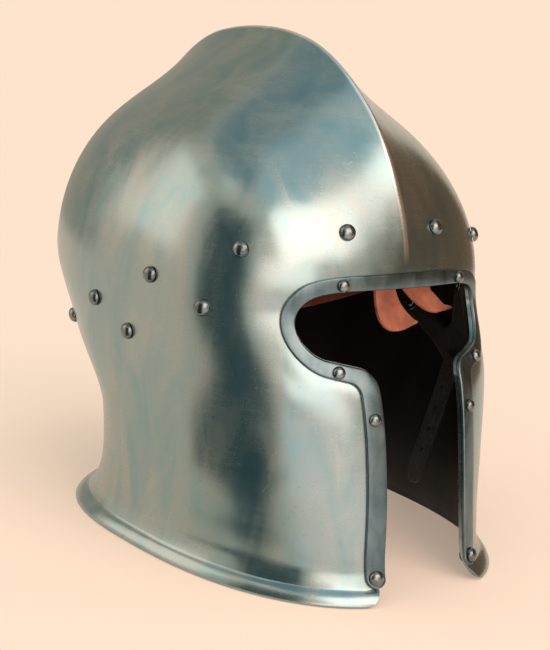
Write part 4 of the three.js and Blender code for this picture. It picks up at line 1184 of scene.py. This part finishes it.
@dataclass
class Rivets:
    """Domed rivets and the washers under their tails."""

    finishes: FinishSet
    centre: Vector
    sides: int = 32
    head_rise_share: float = 0.78
    head_power: float = 0.9
    head_turns: tuple = (0.06, QUARTER - 0.05, 12)
    neck_share: float = 0.97
    grip: float = 1.0
    shank_radius: float = 1.8
    tail_radius: float = 3.2
    tail_rise: float = 1.2
    tail_turns: tuple = (0.08, QUARTER, 6)
    washer_radius: float = 5.2
    washer_thickness: float = 1.0
    washer_play: float = 0.3
    washer_edge: float = 0.2
    bore_edge: float = 0.15
    rim_edge: float = 0.25
    smooth_angle: float = 50.0

    def head_profile(self, radius: float) -> list[tuple[float, float]]:
        """Radii and heights of a rivet from the tail's end up to the top of its head."""
        tail = [
            (self.tail_radius * math.sin(t), -self.tail_rise * math.cos(t) - self.grip)
            for t in np.linspace(*self.tail_turns)
        ]
        neck = [(self.shank_radius, -self.grip), (self.shank_radius, 0.0), (radius * self.neck_share, 0.0)]
        rise = radius * self.head_rise_share
        dome = [
            (radius * math.cos(t) ** self.head_power, rise * math.sin(t))
            for t in np.linspace(*self.head_turns)
        ]
        return tail + neck + dome

    def rivet(self, radius: float) -> Piece:
        """One rivet with the pattern's short grip."""
        piece = Bench.lathe("rivet_pattern", self.head_profile(radius), self.sides)
        Bench.smooth(piece, self.smooth_angle)
        return piece

    def washer(self) -> Piece:
        """One washer with softened edges and its bore, its inner face on Z 0."""
        rim = self.washer_radius
        thick = self.washer_thickness
        bore = self.shank_radius + self.washer_play
        edge = self.washer_edge
        under = self.bore_edge
        top = self.rim_edge
        loop = [
            (bore, under), (bore + under, 0), (rim - edge, 0), (rim, edge), (rim, thick - top),
            (rim - top, thick), (bore + edge, thick), (bore, thick - edge), (bore, under),
        ]
        turns = np.linspace(0, FULL_TURN, self.sides + 1)
        points = np.array([[(r * math.cos(t), r * math.sin(t), z) for r, z in loop] for t in turns])
        return Bench.complete(Bench.grid("washer_pattern", points * MM), self.smooth_angle)

    def set_rivet(self, pattern: Piece, place: RivetPlace, name: str) -> Piece:
        """Copy a rivet to its place, its grip drawn out to the real depth."""
        piece = Bench.copy_of(pattern, name)
        drawn = place.bottom + (self.grip + self.tail_rise) * MM
        for vertex in piece.data.vertices:
            if vertex.co.z < -self.grip / 2 * MM:
                vertex.co.z += drawn
        piece.data.transform(place.matrix())
        return piece

    def build(self, nodes: dict[str, Piece]) -> list[tuple[Piece, str]]:
        """Make every rivet and washer.

        Args:
            nodes: the CAD nodes by name.

        Returns:
            Each piece with the node that it stands for.
        """
        made = []
        patterns: dict[float, Piece] = {}
        washer = self.washer()
        lowered = Matrix.Translation((0, 0, -self.washer_thickness * MM))
        for name, node in sorted(nodes.items()):
            if "washer" not in name and "rivet" not in name:
                continue
            place = RivetPlace.read(node, self.centre)
            if "washer" in name:
                piece = Bench.copy_of(washer, f"{name}_disc")
                piece.data.transform(place.matrix() @ lowered)
            else:
                size = round(place.radius / MM, 1)
                if size not in patterns:
                    patterns[size] = self.rivet(size)
                piece = self.set_rivet(patterns[size], place, f"{name}_turned")
            made.append((piece, name))
        for pattern in [washer, *patterns.values()]:
            bpy.data.objects.remove(pattern)
        for piece, _ in made:
            Bench.smooth(piece, self.smooth_angle)
            dress(piece, self.finishes.rivet)
        return made


@dataclass
class Liner:
    """The leather band inside the skull, its six gathered tongues and its stitches."""

    form: HelmetForm
    finishes: FinishSet
    lower_margin: float = 9.0
    upper_margin: float = 14.0
    sag_depth: float = 4.5
    sag_turn: float = -0.62
    sag_spread: float = 0.34
    thickness: float = 2.0
    gap: float = 0.6
    edge_round: float = 0.4
    columns_per_octant: int = 22
    band_rows: int = 9
    tongue_thickness: float = 1.8
    tongue_lap: float = 4.0
    tongue_rows: int = 34
    tongue_columns: int = 13
    base_width: float = 58.0
    tip_width: float = 12.0
    sag: float = 14.0
    taper: float = 1.3
    gather_radius: float = 20.0
    tongue_count: int = 8
    measured_turn: float = 0.004
    ripple: float = 0.5
    ripple_turn: float = 2.6
    ripple_shift: float = 1.7
    seat_gap: float = 0.3
    stitch_length: float = 3.2
    stitch_pitch: float = 5.0
    stitch_rise: float = 0.15
    stitch_drops: tuple = (2.4, 4.6)

    def band(self) -> Piece:
        """The band as a strip with thickness and softened edges."""
        turns = self.form.columns(self.columns_per_octant)
        inset = self.form.thickness + self.gap
        near = (turns + math.pi) % FULL_TURN - math.pi
        sag = self.sag_depth * np.exp(-((near - self.sag_turn) / self.sag_spread) ** 2)
        rows = []
        for share in np.linspace(0, 1, self.band_rows):
            drop = (1 - share) * (self.lower_margin + sag) - share * self.upper_margin
            rows.append(self.form.skull_point(turns, self.form.liner_level(turns, drop), inset))
        piece = Bench.grid("liner_band_leather", self.form.to_scene(np.stack(rows)))
        self.thicken(piece, self.thickness)
        return piece

    def thicken(self, piece: Piece, thickness: float) -> None:
        """Give a sheet that faces the plate its thickness inwards and soft edges."""
        centre = self.form.centre()
        outward = sum(face.normal.dot(face.center - centre) for face in piece.data.polygons)
        if outward < 0:
            piece.data.flip_normals()
        Bench.thicken(piece, thickness, self.edge_round, even=True)

    def tongue(self, number: int) -> Piece:
        """One gathered tongue that runs from the band up to the crown."""
        form = self.form
        turn = (number + 0.5) * FULL_TURN / self.tongue_count
        middle = turn - FULL_TURN if turn > math.pi else turn
        narrowing = (self.gather_radius / form.temple_half_width) ** (1 / form.width_power)
        crown = 1 + math.acos(narrowing) / QUARTER
        seat = form.thickness + 2 * self.gap + self.thickness + 2 * self.seat_gap
        across = np.linspace(-1, 1, self.tongue_columns)

        def level_of(angle: np.ndarray, share: float) -> np.ndarray:
            """The level at a share of the way up."""
            foot = form.liner_level(angle, self.tongue_lap - self.upper_margin)
            return foot + (crown - foot) * share

        rows = []
        for share in np.linspace(0, 1, self.tongue_rows):
            inset = seat + self.sag * share * share
            beside = np.array([middle - self.measured_turn, middle + self.measured_turn])
            ends = form.dome_point(beside, level_of(np.array(middle), share), inset)
            width = self.tip_width + (self.base_width - self.tip_width) * (1 - share) ** self.taper
            angles = middle + across * (width * self.measured_turn / np.linalg.norm(ends[1] - ends[0]))
            wave = np.sin(across * self.ripple_turn + number * self.ripple_shift) ** 2
            depth = inset + self.ripple * share * wave
            rows.append(form.dome_point(angles, level_of(angles, share), depth))
        piece = Bench.grid(f"liner_tongue_{number}_leather", form.to_scene(np.stack(rows)))
        self.thicken(piece, self.tongue_thickness)
        return piece

    def stitches(self) -> Piece:
        """Two lines of thread that sew the tongues to the band."""
        form = self.form
        inset = form.thickness + self.gap + self.thickness + self.stitch_rise
        turns = np.linspace(0, FULL_TURN, 2 * FINE_TURNS - 1)
        length = self.stitch_length * MM
        places = []
        for drop in self.stitch_drops:
            level = form.liner_level(turns, drop - self.upper_margin)
            line = form.to_scene(form.skull_point(turns, level, inset))
            run = run_lengths(line)
            for start in np.arange(0, run[-1] - length, self.stitch_pitch * MM):
                first, last = (
                    Vector([np.interp(at, run, line[:, axis]) for axis in range(3)])
                    for at in (start, start + length)
                )
                turn = Vector((1, 0, 0)).rotation_difference((last - first).normalized())
                places.append(Matrix.Translation((first + last) / 2) @ turn.to_matrix().to_4x4())
        return Bench.sew("liner_stitches", self.stitch_length, places, self.finishes.thread)

    def build(self) -> list[tuple[Piece, tuple[str, ...]]]:
        """Make the band, its tongues and its stitches.

        Returns:
            Each piece with the nodes that it stands for.
        """
        made = [(self.band(), ("liner_band",))]
        for number in range(1, self.tongue_count - 1):
            made.append((self.tongue(number), (f"liner_tongue_{number}",)))
        for piece, _ in made:
            dress(piece, self.finishes.liner, self.finishes.cut_edge)
        made.append((self.stitches(), ()))
        return made


@dataclass
class LooseTongues:
    """The two liner tongues that have come loose and hang behind the brow."""

    form: HelmetForm
    finishes: FinishSet
    brow_height: float = 153.0
    eye_girth: float = 52.0
    drop: float = 32.0
    depth: float = 26.0
    base_width: float = 17.0
    right_arc: float = -8.0
    left_arc: float = 42.0
    thickness: float = 1.8
    edge_round: float = 0.25
    lap: float = 4.0
    upper_margin: float = 14.0
    seat: float = 4.7
    rows: int = 56
    columns: int = 9
    right_shares: tuple = (
        ((-0.16, -0.5, 0.6), (0.2, -0.5, 0.6)),
        ((-0.054, 0.17, 0.73), (0.303, 0.168, 0.73)),
        ((-0.015, 0.384, 0.75), (0.365, 0.289, 0.75)),
        ((0.009, 0.594, 0.77), (0.426, 0.397, 0.77)),
        ((0.116, 0.759, 0.79), (0.55, 0.558, 0.79)),
        ((0.311, 0.829, 0.83), (0.705, 0.694, 0.83)),
        ((0.835, 0.789, 0.9), (0.875, 0.764, 0.9)),
    )
    left_shares: tuple = (
        ((0.5, -0.5, 0.58), (0.93, -0.5, 0.55)),
        ((0.392, 0.125, 0.65), (0.913, 0.205, 0.58)),
        ((0.512, 0.273, 0.65), (0.954, 0.27, 0.54)),
        ((0.628, 0.385, 0.63), (1.048, 0.361, 0.52)),
        ((0.887, 0.564, 0.6), (1.208, 0.499, 0.5)),
        ((1.129, 0.601, 0.54), (1.399, 0.564, 0.48)),
        ((1.6, 0.66, 0.46), (1.62, 0.63, 0.46)),
    )

    def edges(self, side: Side) -> np.ndarray:
        """The left and right edge of the tongue at each station, in millimetres."""
        form = self.form
        shares = self.right_shares if side is Side.RIGHT else self.left_shares
        arc_middle = self.right_arc if side is Side.RIGHT else self.left_arc
        half = self.base_width / 2
        ends = form.angle_along_liner(np.array([arc_middle - half, arc_middle + half]))
        rows = []
        for lap in (0.0, self.lap):
            rows.append(form.skull_point(ends, form.liner_level(ends, lap - self.upper_margin), self.seat))
        for pair in shares:
            girths, falls, depths = np.array(pair).T
            heights = self.brow_height - falls * self.drop
            rows.append(form.plate_point(girths * self.eye_girth, heights, depths * self.depth))
        return np.stack(rows)

    def build(self, side: Side) -> Piece:
        """Make one loose tongue as a curved strip."""
        stations = self.edges(side)
        run = run_lengths(stations.mean(axis=1))
        fine = np.linspace(0, run[-1], self.rows)
        rows = smooth_curve(run, stations.reshape(len(run), -1), fine).reshape(self.rows, 2, 3)
        left = rows[:, :1]
        right = rows[:, 1:]
        points = left + (right - left) * np.linspace(0, 1, self.columns)[None, :, None]
        piece = Bench.grid(f"loose_tongue_{side.name.lower()}_leather", self.form.to_scene(points))
        facing = sum(face.normal.y for face in piece.data.polygons)
        if facing > 0:
            piece.data.flip_normals()
        Bench.thicken(piece, self.thickness, self.edge_round, even=False)
        dress(piece, self.finishes.liner, self.finishes.cut_edge)
        return piece


def smooth_curve(places: np.ndarray, values: np.ndarray, at: np.ndarray) -> np.ndarray:
    """A Catmull-Rom curve through rows of values at uneven places.

    Args:
        places: rising places.
        values: one row of values for each place.
        at: where the curve is read.

    Returns:
        One row of values for each reading.
    """
    slopes = np.gradient(values, places, axis=0)
    k = np.clip(np.searchsorted(places, at, side="right") - 1, 0, len(places) - 2)
    span = (places[k + 1] - places[k])[:, None]
    t = ((at - places[k])[:, None]) / span
    start = (1 + 2 * t) * (1 - t) ** 2 * values[k] + t * (1 - t) ** 2 * span * slopes[k]
    end = t * t * (3 - 2 * t) * values[k + 1] - t * t * (1 - t) * span * slopes[k + 1]
    return start + end


@dataclass
class ChinStrap:
    """The black leather yokes and chin strap with its buckle."""

    finishes: FinishSet
    nodes: dict[str, Piece]
    joints: dict[str, Matrix]
    width: float = 18.0
    thickness: float = 2.2
    buckle_strap_length: float = 60.0
    billet_length: float = 78.0
    yoke_voxel: float = 0.6
    strap_voxel: float = 0.5
    keeper_round: float = 0.5
    prong_round: float = 0.35
    stitch_margin: float = 2.4
    stitch_sink: float = 0.12
    stitch_start: float = 4.0
    billet_point: float = 16.0
    stitch_length: float = 2.4
    stitch_pitch: float = 3.8
    wire_radius: float = 1.5
    ring_radius: float = 10.0
    ring_segments: int = 72
    wire_segments: int = 18
    buckle_width: float = 28.0
    buckle_length: float = 21.0
    corner_radius: float = 3.0
    corner_steps: int = 8
    look_ahead: float = 0.2
    soften_factor: float = 0.5
    soften_rounds: int = 4
    flat_angle: float = 4.0
    edge_segments: int = 3
    edge_angle: float = 30.0
    leather_smooth_angle: float = 75.0
    edge_smooth_angle: float = 45.0
    wire_smooth_angle: float = 60.0

    def leather(self, node: str, voxel: float) -> Piece:
        """A soft-edged leather form in the space of a CAD node."""
        piece = Bench.copy_of(self.nodes[node], f"{node}_leather")
        piece.data.materials.clear()
        Bench.finish_with(piece, "REMESH", mode="VOXEL", voxel_size=voxel * MM, adaptivity=0.0)
        Bench.finish_with(piece, "SMOOTH", factor=self.soften_factor, iterations=self.soften_rounds)
        return Bench.complete(piece, self.leather_smooth_angle, self.finishes.strap)

    def softened(self, node: str, material: bpy.types.Material, width: float) -> Piece:
        """A CAD node's form with its flats dissolved and its edges rounded."""
        piece = Bench.copy_of(self.nodes[node], f"{node}_rounded")
        piece.data.materials.clear()
        flat = math.radians(self.flat_angle)
        Bench.edit(piece, lambda: bpy.ops.mesh.dissolve_limited(angle_limit=flat))
        Bench.bevel(piece, width, self.edge_segments, self.edge_angle)
        return Bench.complete(piece, self.edge_smooth_angle, material)

    def stitches(self, name: str, frame: Matrix, length: float) -> Piece:
        """Thread along both edges of a hanging strap, on both faces."""
        side = self.width / 2 - self.stitch_margin
        face = self.thickness / 2 - self.stitch_sink
        turn = Matrix.Rotation(QUARTER, 4, "Y")
        places = [
            frame @ Matrix.Translation(Vector((x * MM, y * MM, -z * MM))) @ turn
            for x in (-side, side)
            for y in (-face, face)
            for z in np.arange(self.stitch_start, length, self.stitch_pitch)
        ]
        return Bench.sew(name, self.stitch_length, places, self.finishes.dark_thread)

    def buckle(self, frame: Matrix) -> Piece:
        """The buckle's wire: a ring bent round a rounded rectangle."""
        Bench.clear_selection()
        bpy.ops.mesh.primitive_torus_add(
            major_segments=self.ring_segments,
            minor_segments=self.wire_segments,
            major_radius=self.ring_radius * MM,
            minor_radius=self.wire_radius * MM,
        )
        piece = Bench.named("buckle_frame_wire")
        corner = self.corner_radius
        half = self.buckle_width / 2 - self.wire_radius - corner
        deep = self.buckle_length - corner
        path = []
        for quarter, (x, z) in enumerate([(half, -corner), (-half, -corner), (-half, -deep), (half, -deep)]):
            for k in range(self.corner_steps + 1):
                turn = (quarter + k / self.corner_steps) * QUARTER
                path.append((x + corner * math.cos(turn), z + corner * math.sin(turn)))
        loop = np.array(path + path[:1])
        run = run_lengths(loop)

        def spot(at: float) -> np.ndarray:
            """The point at a length along the loop."""
            return np.array([np.interp(at % run[-1], run, loop[:, axis]) for axis in range(2)])

        for vertex in piece.data.vertices:
            at = math.atan2(vertex.co.y, vertex.co.x) % FULL_TURN / FULL_TURN * run[-1]
            out = math.hypot(vertex.co.x, vertex.co.y) / MM - self.ring_radius
            along = spot(at + self.look_ahead) - spot(at - self.look_ahead)
            along /= np.linalg.norm(along)
            moved = spot(at) + np.array([along[1], -along[0]]) * out
            vertex.co = Vector((moved[0] * MM, vertex.co.z, moved[1] * MM))
        piece.data.transform(frame)
        return Bench.complete(piece, self.wire_smooth_angle, self.finishes.rivet)

    def build(self) -> list[tuple[Piece, Body, tuple[str, ...]]]:
        """Make the yokes, both strap ends, keeper, buckle and prong.

        Returns:
            Each piece with its body and the nodes that it stands for.
        """
        made = [
            (self.leather(node, voxel), body, (node,))
            for node, voxel, body in (
                ("strap_yoke_right", self.yoke_voxel, Body.HELMET),
                ("strap_yoke_left", self.yoke_voxel, Body.HELMET),
                ("chin_strap_right", self.strap_voxel, Body.BUCKLE_STRAP),
                ("chin_strap_left", self.strap_voxel, Body.BILLET),
            )
        ]
        keeper = self.softened("strap_keeper", self.finishes.strap, self.keeper_round)
        buckle = self.buckle(self.joints["buckle_swing"])
        prong = self.softened("buckle_prong", self.finishes.rivet, self.prong_round)
        made.append((keeper, Body.BUCKLE_STRAP, ("strap_keeper",)))
        made.append((buckle, Body.BUCKLE, ("buckle_frame",)))
        made.append((prong, Body.PRONG, ("buckle_prong",)))
        for name, joint, length, body in (
            ("buckle_strap_stitches", "buckle_strap_swing", self.buckle_strap_length - self.stitch_start,
             Body.BUCKLE_STRAP),
            ("billet_stitches", "billet_swing", self.billet_length - self.billet_point, Body.BILLET),
        ):
            made.append((self.stitches(name, self.joints[joint], length), body, ()))
        return made


def strap_frames(joints: dict) -> dict[str, Matrix]:
    """The frame of each strap joint: X along the hinge, Y outwards, Z up the strap.

    Args:
        joints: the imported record's joints by name.

    Returns:
        A matrix for each joint.
    """
    frames = {}
    for name, joint in joints.items():
        along = -Vector(joint["axis"]).normalized()
        spot = Vector(joint["pos_m"])
        side = Side.RIGHT if spot.x < 0 else Side.LEFT
        outwards = Vector(STRAP_OUTWARDS)
        outwards.x *= side.value
        out = (outwards - along * outwards.dot(along)).normalized()
        turn = Matrix((along, out, along.cross(out))).transposed().to_4x4()
        frames[name] = Matrix.Translation(spot) @ turn
    return frames


@dataclass(frozen=True)
class Lamp:
    """A soft lamp: the turn and height that it shines from, its distance, size and power."""

    name: str
    azimuth: float
    elevation: float
    distance: float
    size: tuple[float, float]
    power: float
    colour: Colour


@dataclass(frozen=True)
class Card:
    """A curved card that only reflections show: a sweep over the floor and up."""

    name: str
    azimuths: tuple[float, float]
    reaches: tuple[float, float]
    heights: tuple[float, float]
    colour: Colour
    columns: int = 25

    def points(self) -> np.ndarray:
        """Rows from the inner edge to the top, each swept through the turns."""
        near, far = self.reaches
        low, high = self.heights
        profile = [(near, low)]
        if far > near:
            profile.append((far, low))
        if high > low:
            profile.append((far, high))
        turns = np.radians(np.linspace(*self.azimuths, self.columns))
        return np.array([[(r * math.sin(t), -r * math.cos(t), z) for t in turns] for r, z in profile])


@dataclass
class Studio:
    """The floor, world, lamps, reflection cards and camera."""

    form: HelmetForm
    peach: Colour = (0.991, 0.775, 0.610)
    focal_pixels: float = 1501.92
    sensor_width: float = 36.0
    clip_range: tuple[float, float] = (0.05, 50.0)
    camera_distance: float = 813.33
    camera_turn: float = -40.95
    camera_rise: float = 12.765
    camera_roll: float = 5.28
    camera_target: tuple[float, float, float] = (-29.79, -31.936, 121.155)
    even_light: Colour = (0.95, 1.0, 1.0)
    even_strength: float = 0.55
    lamp_aim: tuple[float, float, float] = (0.0, 0.0, 0.14)
    floor_size: float = 12.0
    floor_height: float = -0.0004
    floor_roughness: float = 0.9
    floor_tint: float = 0.985
    floor_noise: Noise = Noise((3.0, 3.0, 3.0), 2.0)
    shadow_reach: tuple[float, float] = (0.17, 0.42)
    shadow_glow: float = 0.35
    lamps: tuple[Lamp, ...] = (
        Lamp("front_box", -5.0, 38.0, 1.5, (1.35, 0.95), 11.0, (1.0, 0.80, 0.72)),
        Lamp("low_front_box", -24.0, 10.0, 1.5, (1.1, 0.5), 3.4, (1.0, 0.78, 0.72)),
        Lamp("back_box", -130.0, 26.0, 1.6, (1.0, 1.1), 3.2, (1.0, 0.82, 0.72)),
        Lamp("top_box", -60.0, 80.0, 1.6, (1.2, 1.2), 8.0, (1.0, 0.95, 0.9)),
    )
    cards: tuple[Card, ...] = (
        Card("side_card", (-93.0, -54.0), (0.17, 1.1), (0.001, 1.2), (0.07, 0.11, 0.11)),
        Card("brown_card", (27.0, 108.0), (1.2, 1.2), (0.0, 2.2), (0.24, 0.14, 0.085)),
        Card("back_card", (150.0, 208.0), (1.3, 1.3), (0.0, 2.0), (0.50, 0.43, 0.34)),
        Card("front_floor_card", (-50.0, 14.0), (0.24, 1.2), (0.001, 0.001), (1.5, 1.22, 1.1)),
        Card("top_front_card", (-58.0, 60.0), (0.0, 0.9), (1.5, 1.5), (0.72, 0.80, 0.80)),
        Card("top_back_card", (60.0, 302.0), (0.0, 0.85), (1.5, 1.5), (0.33, 0.38, 0.38)),
    )

    def camera(self) -> None:
        """Set the camera at the photograph's place."""
        roll = math.radians(self.camera_roll)
        back = direction(self.camera_turn, self.camera_rise)
        level = (-back).cross(Vector((0, 0, 1))).normalized()
        upright = level.cross(-back)
        right = math.cos(roll) * level + math.sin(roll) * upright
        up = math.cos(roll) * upright - math.sin(roll) * level
        target = Vector(self.form.to_scene(np.array(self.camera_target)))
        place = target + back * self.camera_distance * MM
        data = bpy.data.cameras.new("photo_camera")
        data.sensor_fit = "HORIZONTAL"
        data.sensor_width = self.sensor_width
        data.lens = self.focal_pixels / PICTURE_WIDTH * self.sensor_width
        data.clip_start, data.clip_end = self.clip_range
        camera = Bench.add("photo_camera", data)
        turned = Matrix((right, up, back)).transposed().to_4x4()
        camera.matrix_world = Matrix.Translation(place) @ turned
        bpy.context.scene.camera = camera

    def world(self) -> None:
        """A pale backdrop for the eye and for reflections, and an even light for the rest."""
        world = bpy.data.worlds.new("studio_world")
        bpy.context.scene.world = world
        world.use_nodes = True
        wiring = Wiring(world.node_tree)
        output = wiring.add("ShaderNodeOutputWorld")
        seen = wiring.light("ShaderNodeBackground", self.peach)
        even = wiring.light("ShaderNodeBackground", self.even_light, self.even_strength)
        wiring.link(wiring.mix_shaders(wiring.clear_rays(), even, seen), output.inputs["Surface"])

    def floor(self) -> None:
        """The pale floor that keeps the helmet's shadow and runs out into the backdrop."""
        Bench.clear_selection()
        bpy.ops.mesh.primitive_plane_add(size=self.floor_size, location=(0, 0, self.floor_height))
        floor = Bench.named("studio_floor")
        bpy.ops.object.transform_apply(location=True, rotation=True, scale=True)
        draft = Draft("pale_floor")
        wiring = draft.wiring
        matt = wiring.add("ShaderNodeBsdfPrincipled")
        matt.inputs["Roughness"].default_value = self.floor_roughness
        matt.inputs["Specular IOR Level"].default_value = 0.0
        place = draft.place()
        pale = tuple(channel * self.floor_tint for channel in self.peach)
        tint = wiring.noise(place, self.floor_noise)
        wiring.link(wiring.blend(tint, self.peach, pale), matt.inputs["Base Color"])
        glow = wiring.light("ShaderNodeEmission", self.peach)
        reach = wiring.add("ShaderNodeVectorMath", operation="LENGTH")
        wiring.link(place, reach.inputs[0])
        away = wiring.range(reach.outputs["Value"], *self.shadow_reach, self.shadow_glow, 1.0)
        factor = wiring.math("MULTIPLY", wiring.clear_rays(), away)
        wiring.link(wiring.mix_shaders(factor, matt.outputs[0], glow), draft.surface)
        floor.data.materials.append(draft.material)

    def lamp(self, plan: Lamp) -> None:
        """Hang one soft lamp aimed at the helmet."""
        data = bpy.data.lights.new(plan.name, "AREA")
        data.shape = "RECTANGLE"
        data.size, data.size_y = plan.size
        data.energy = plan.power
        data.color = plan.colour
        away = direction(plan.azimuth, plan.elevation)
        place = Vector(self.lamp_aim) + away * plan.distance
        lamp = Bench.add(plan.name, data)
        lamp.matrix_world = Matrix.Translation(place) @ away.to_track_quat("Z", "Y").to_matrix().to_4x4()
        lamp.visible_camera = False

    def card(self, plan: Card) -> None:
        """Set up one card, seen by reflections alone."""
        card = Bench.grid(plan.name, plan.points())
        for rays in ("camera", "diffuse", "transmission", "volume_scatter", "shadow"):
            setattr(card, f"visible_{rays}", False)
        draft = Draft(f"{plan.name}_tone")
        draft.wiring.link(draft.wiring.light("ShaderNodeEmission", plan.colour), draft.surface)
        card.data.materials.append(draft.material)

    def build(self) -> None:
        """Set up the whole studio."""
        self.camera()
        self.world()
        self.floor()
        for plan in self.lamps:
            self.lamp(plan)
        for plan in self.cards:
            self.card(plan)
        bpy.context.scene.view_settings.view_transform = "Standard"


def attach(piece: Piece, body: Body, nodes: tuple[str, ...]) -> None:
    """Let a piece ride on its body and stand for its nodes, and report it.

    Args:
        piece: the finished piece.
        body: the body that carries it.
        nodes: the CAD nodes that it replaces.
    """
    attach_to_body(piece, body.value)
    if nodes:
        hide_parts(*nodes)
    LOG.info("%s: %d faces on %s", piece.name, len(piece.data.polygons), body.value)


def corners(bounds: tuple[Vector, Vector]) -> list[list[float]]:
    """The two corners of a box as plain lists."""
    return [list(corner) for corner in bounds]


def main() -> None:
    """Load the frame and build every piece."""
    logging.basicConfig(level=logging.INFO, format="%(message)s")
    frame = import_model()
    nodes = frame["nodes"]
    form = HelmetForm()
    Studio(form).build()
    finishes = FinishSet()
    attach(Skull(form, finishes).build(), Body.HELMET, ("skull",))
    attach(FaceBand(form, finishes).build(), Body.HELMET, ("face_band",))
    for piece, node in Rivets(finishes, form.centre()).build(nodes):
        attach(piece, Body.HELMET, (node,))
    for piece, replaced in Liner(form, finishes).build():
        attach(piece, Body.HELMET, replaced)
    tongues = LooseTongues(form, finishes)
    for side in Side:
        attach(tongues.build(side), Body.HELMET, (f"loose_tongue_{side.name.lower()}",))
    record = frame["record"]
    joints = {joint["name"]: joint for joint in record["behaviour"]["joints"]}
    for piece, body, replaced in ChinStrap(finishes, nodes, strap_frames(joints)).build():
        attach(piece, body, replaced)


if __name__ == "__main__":
    main()
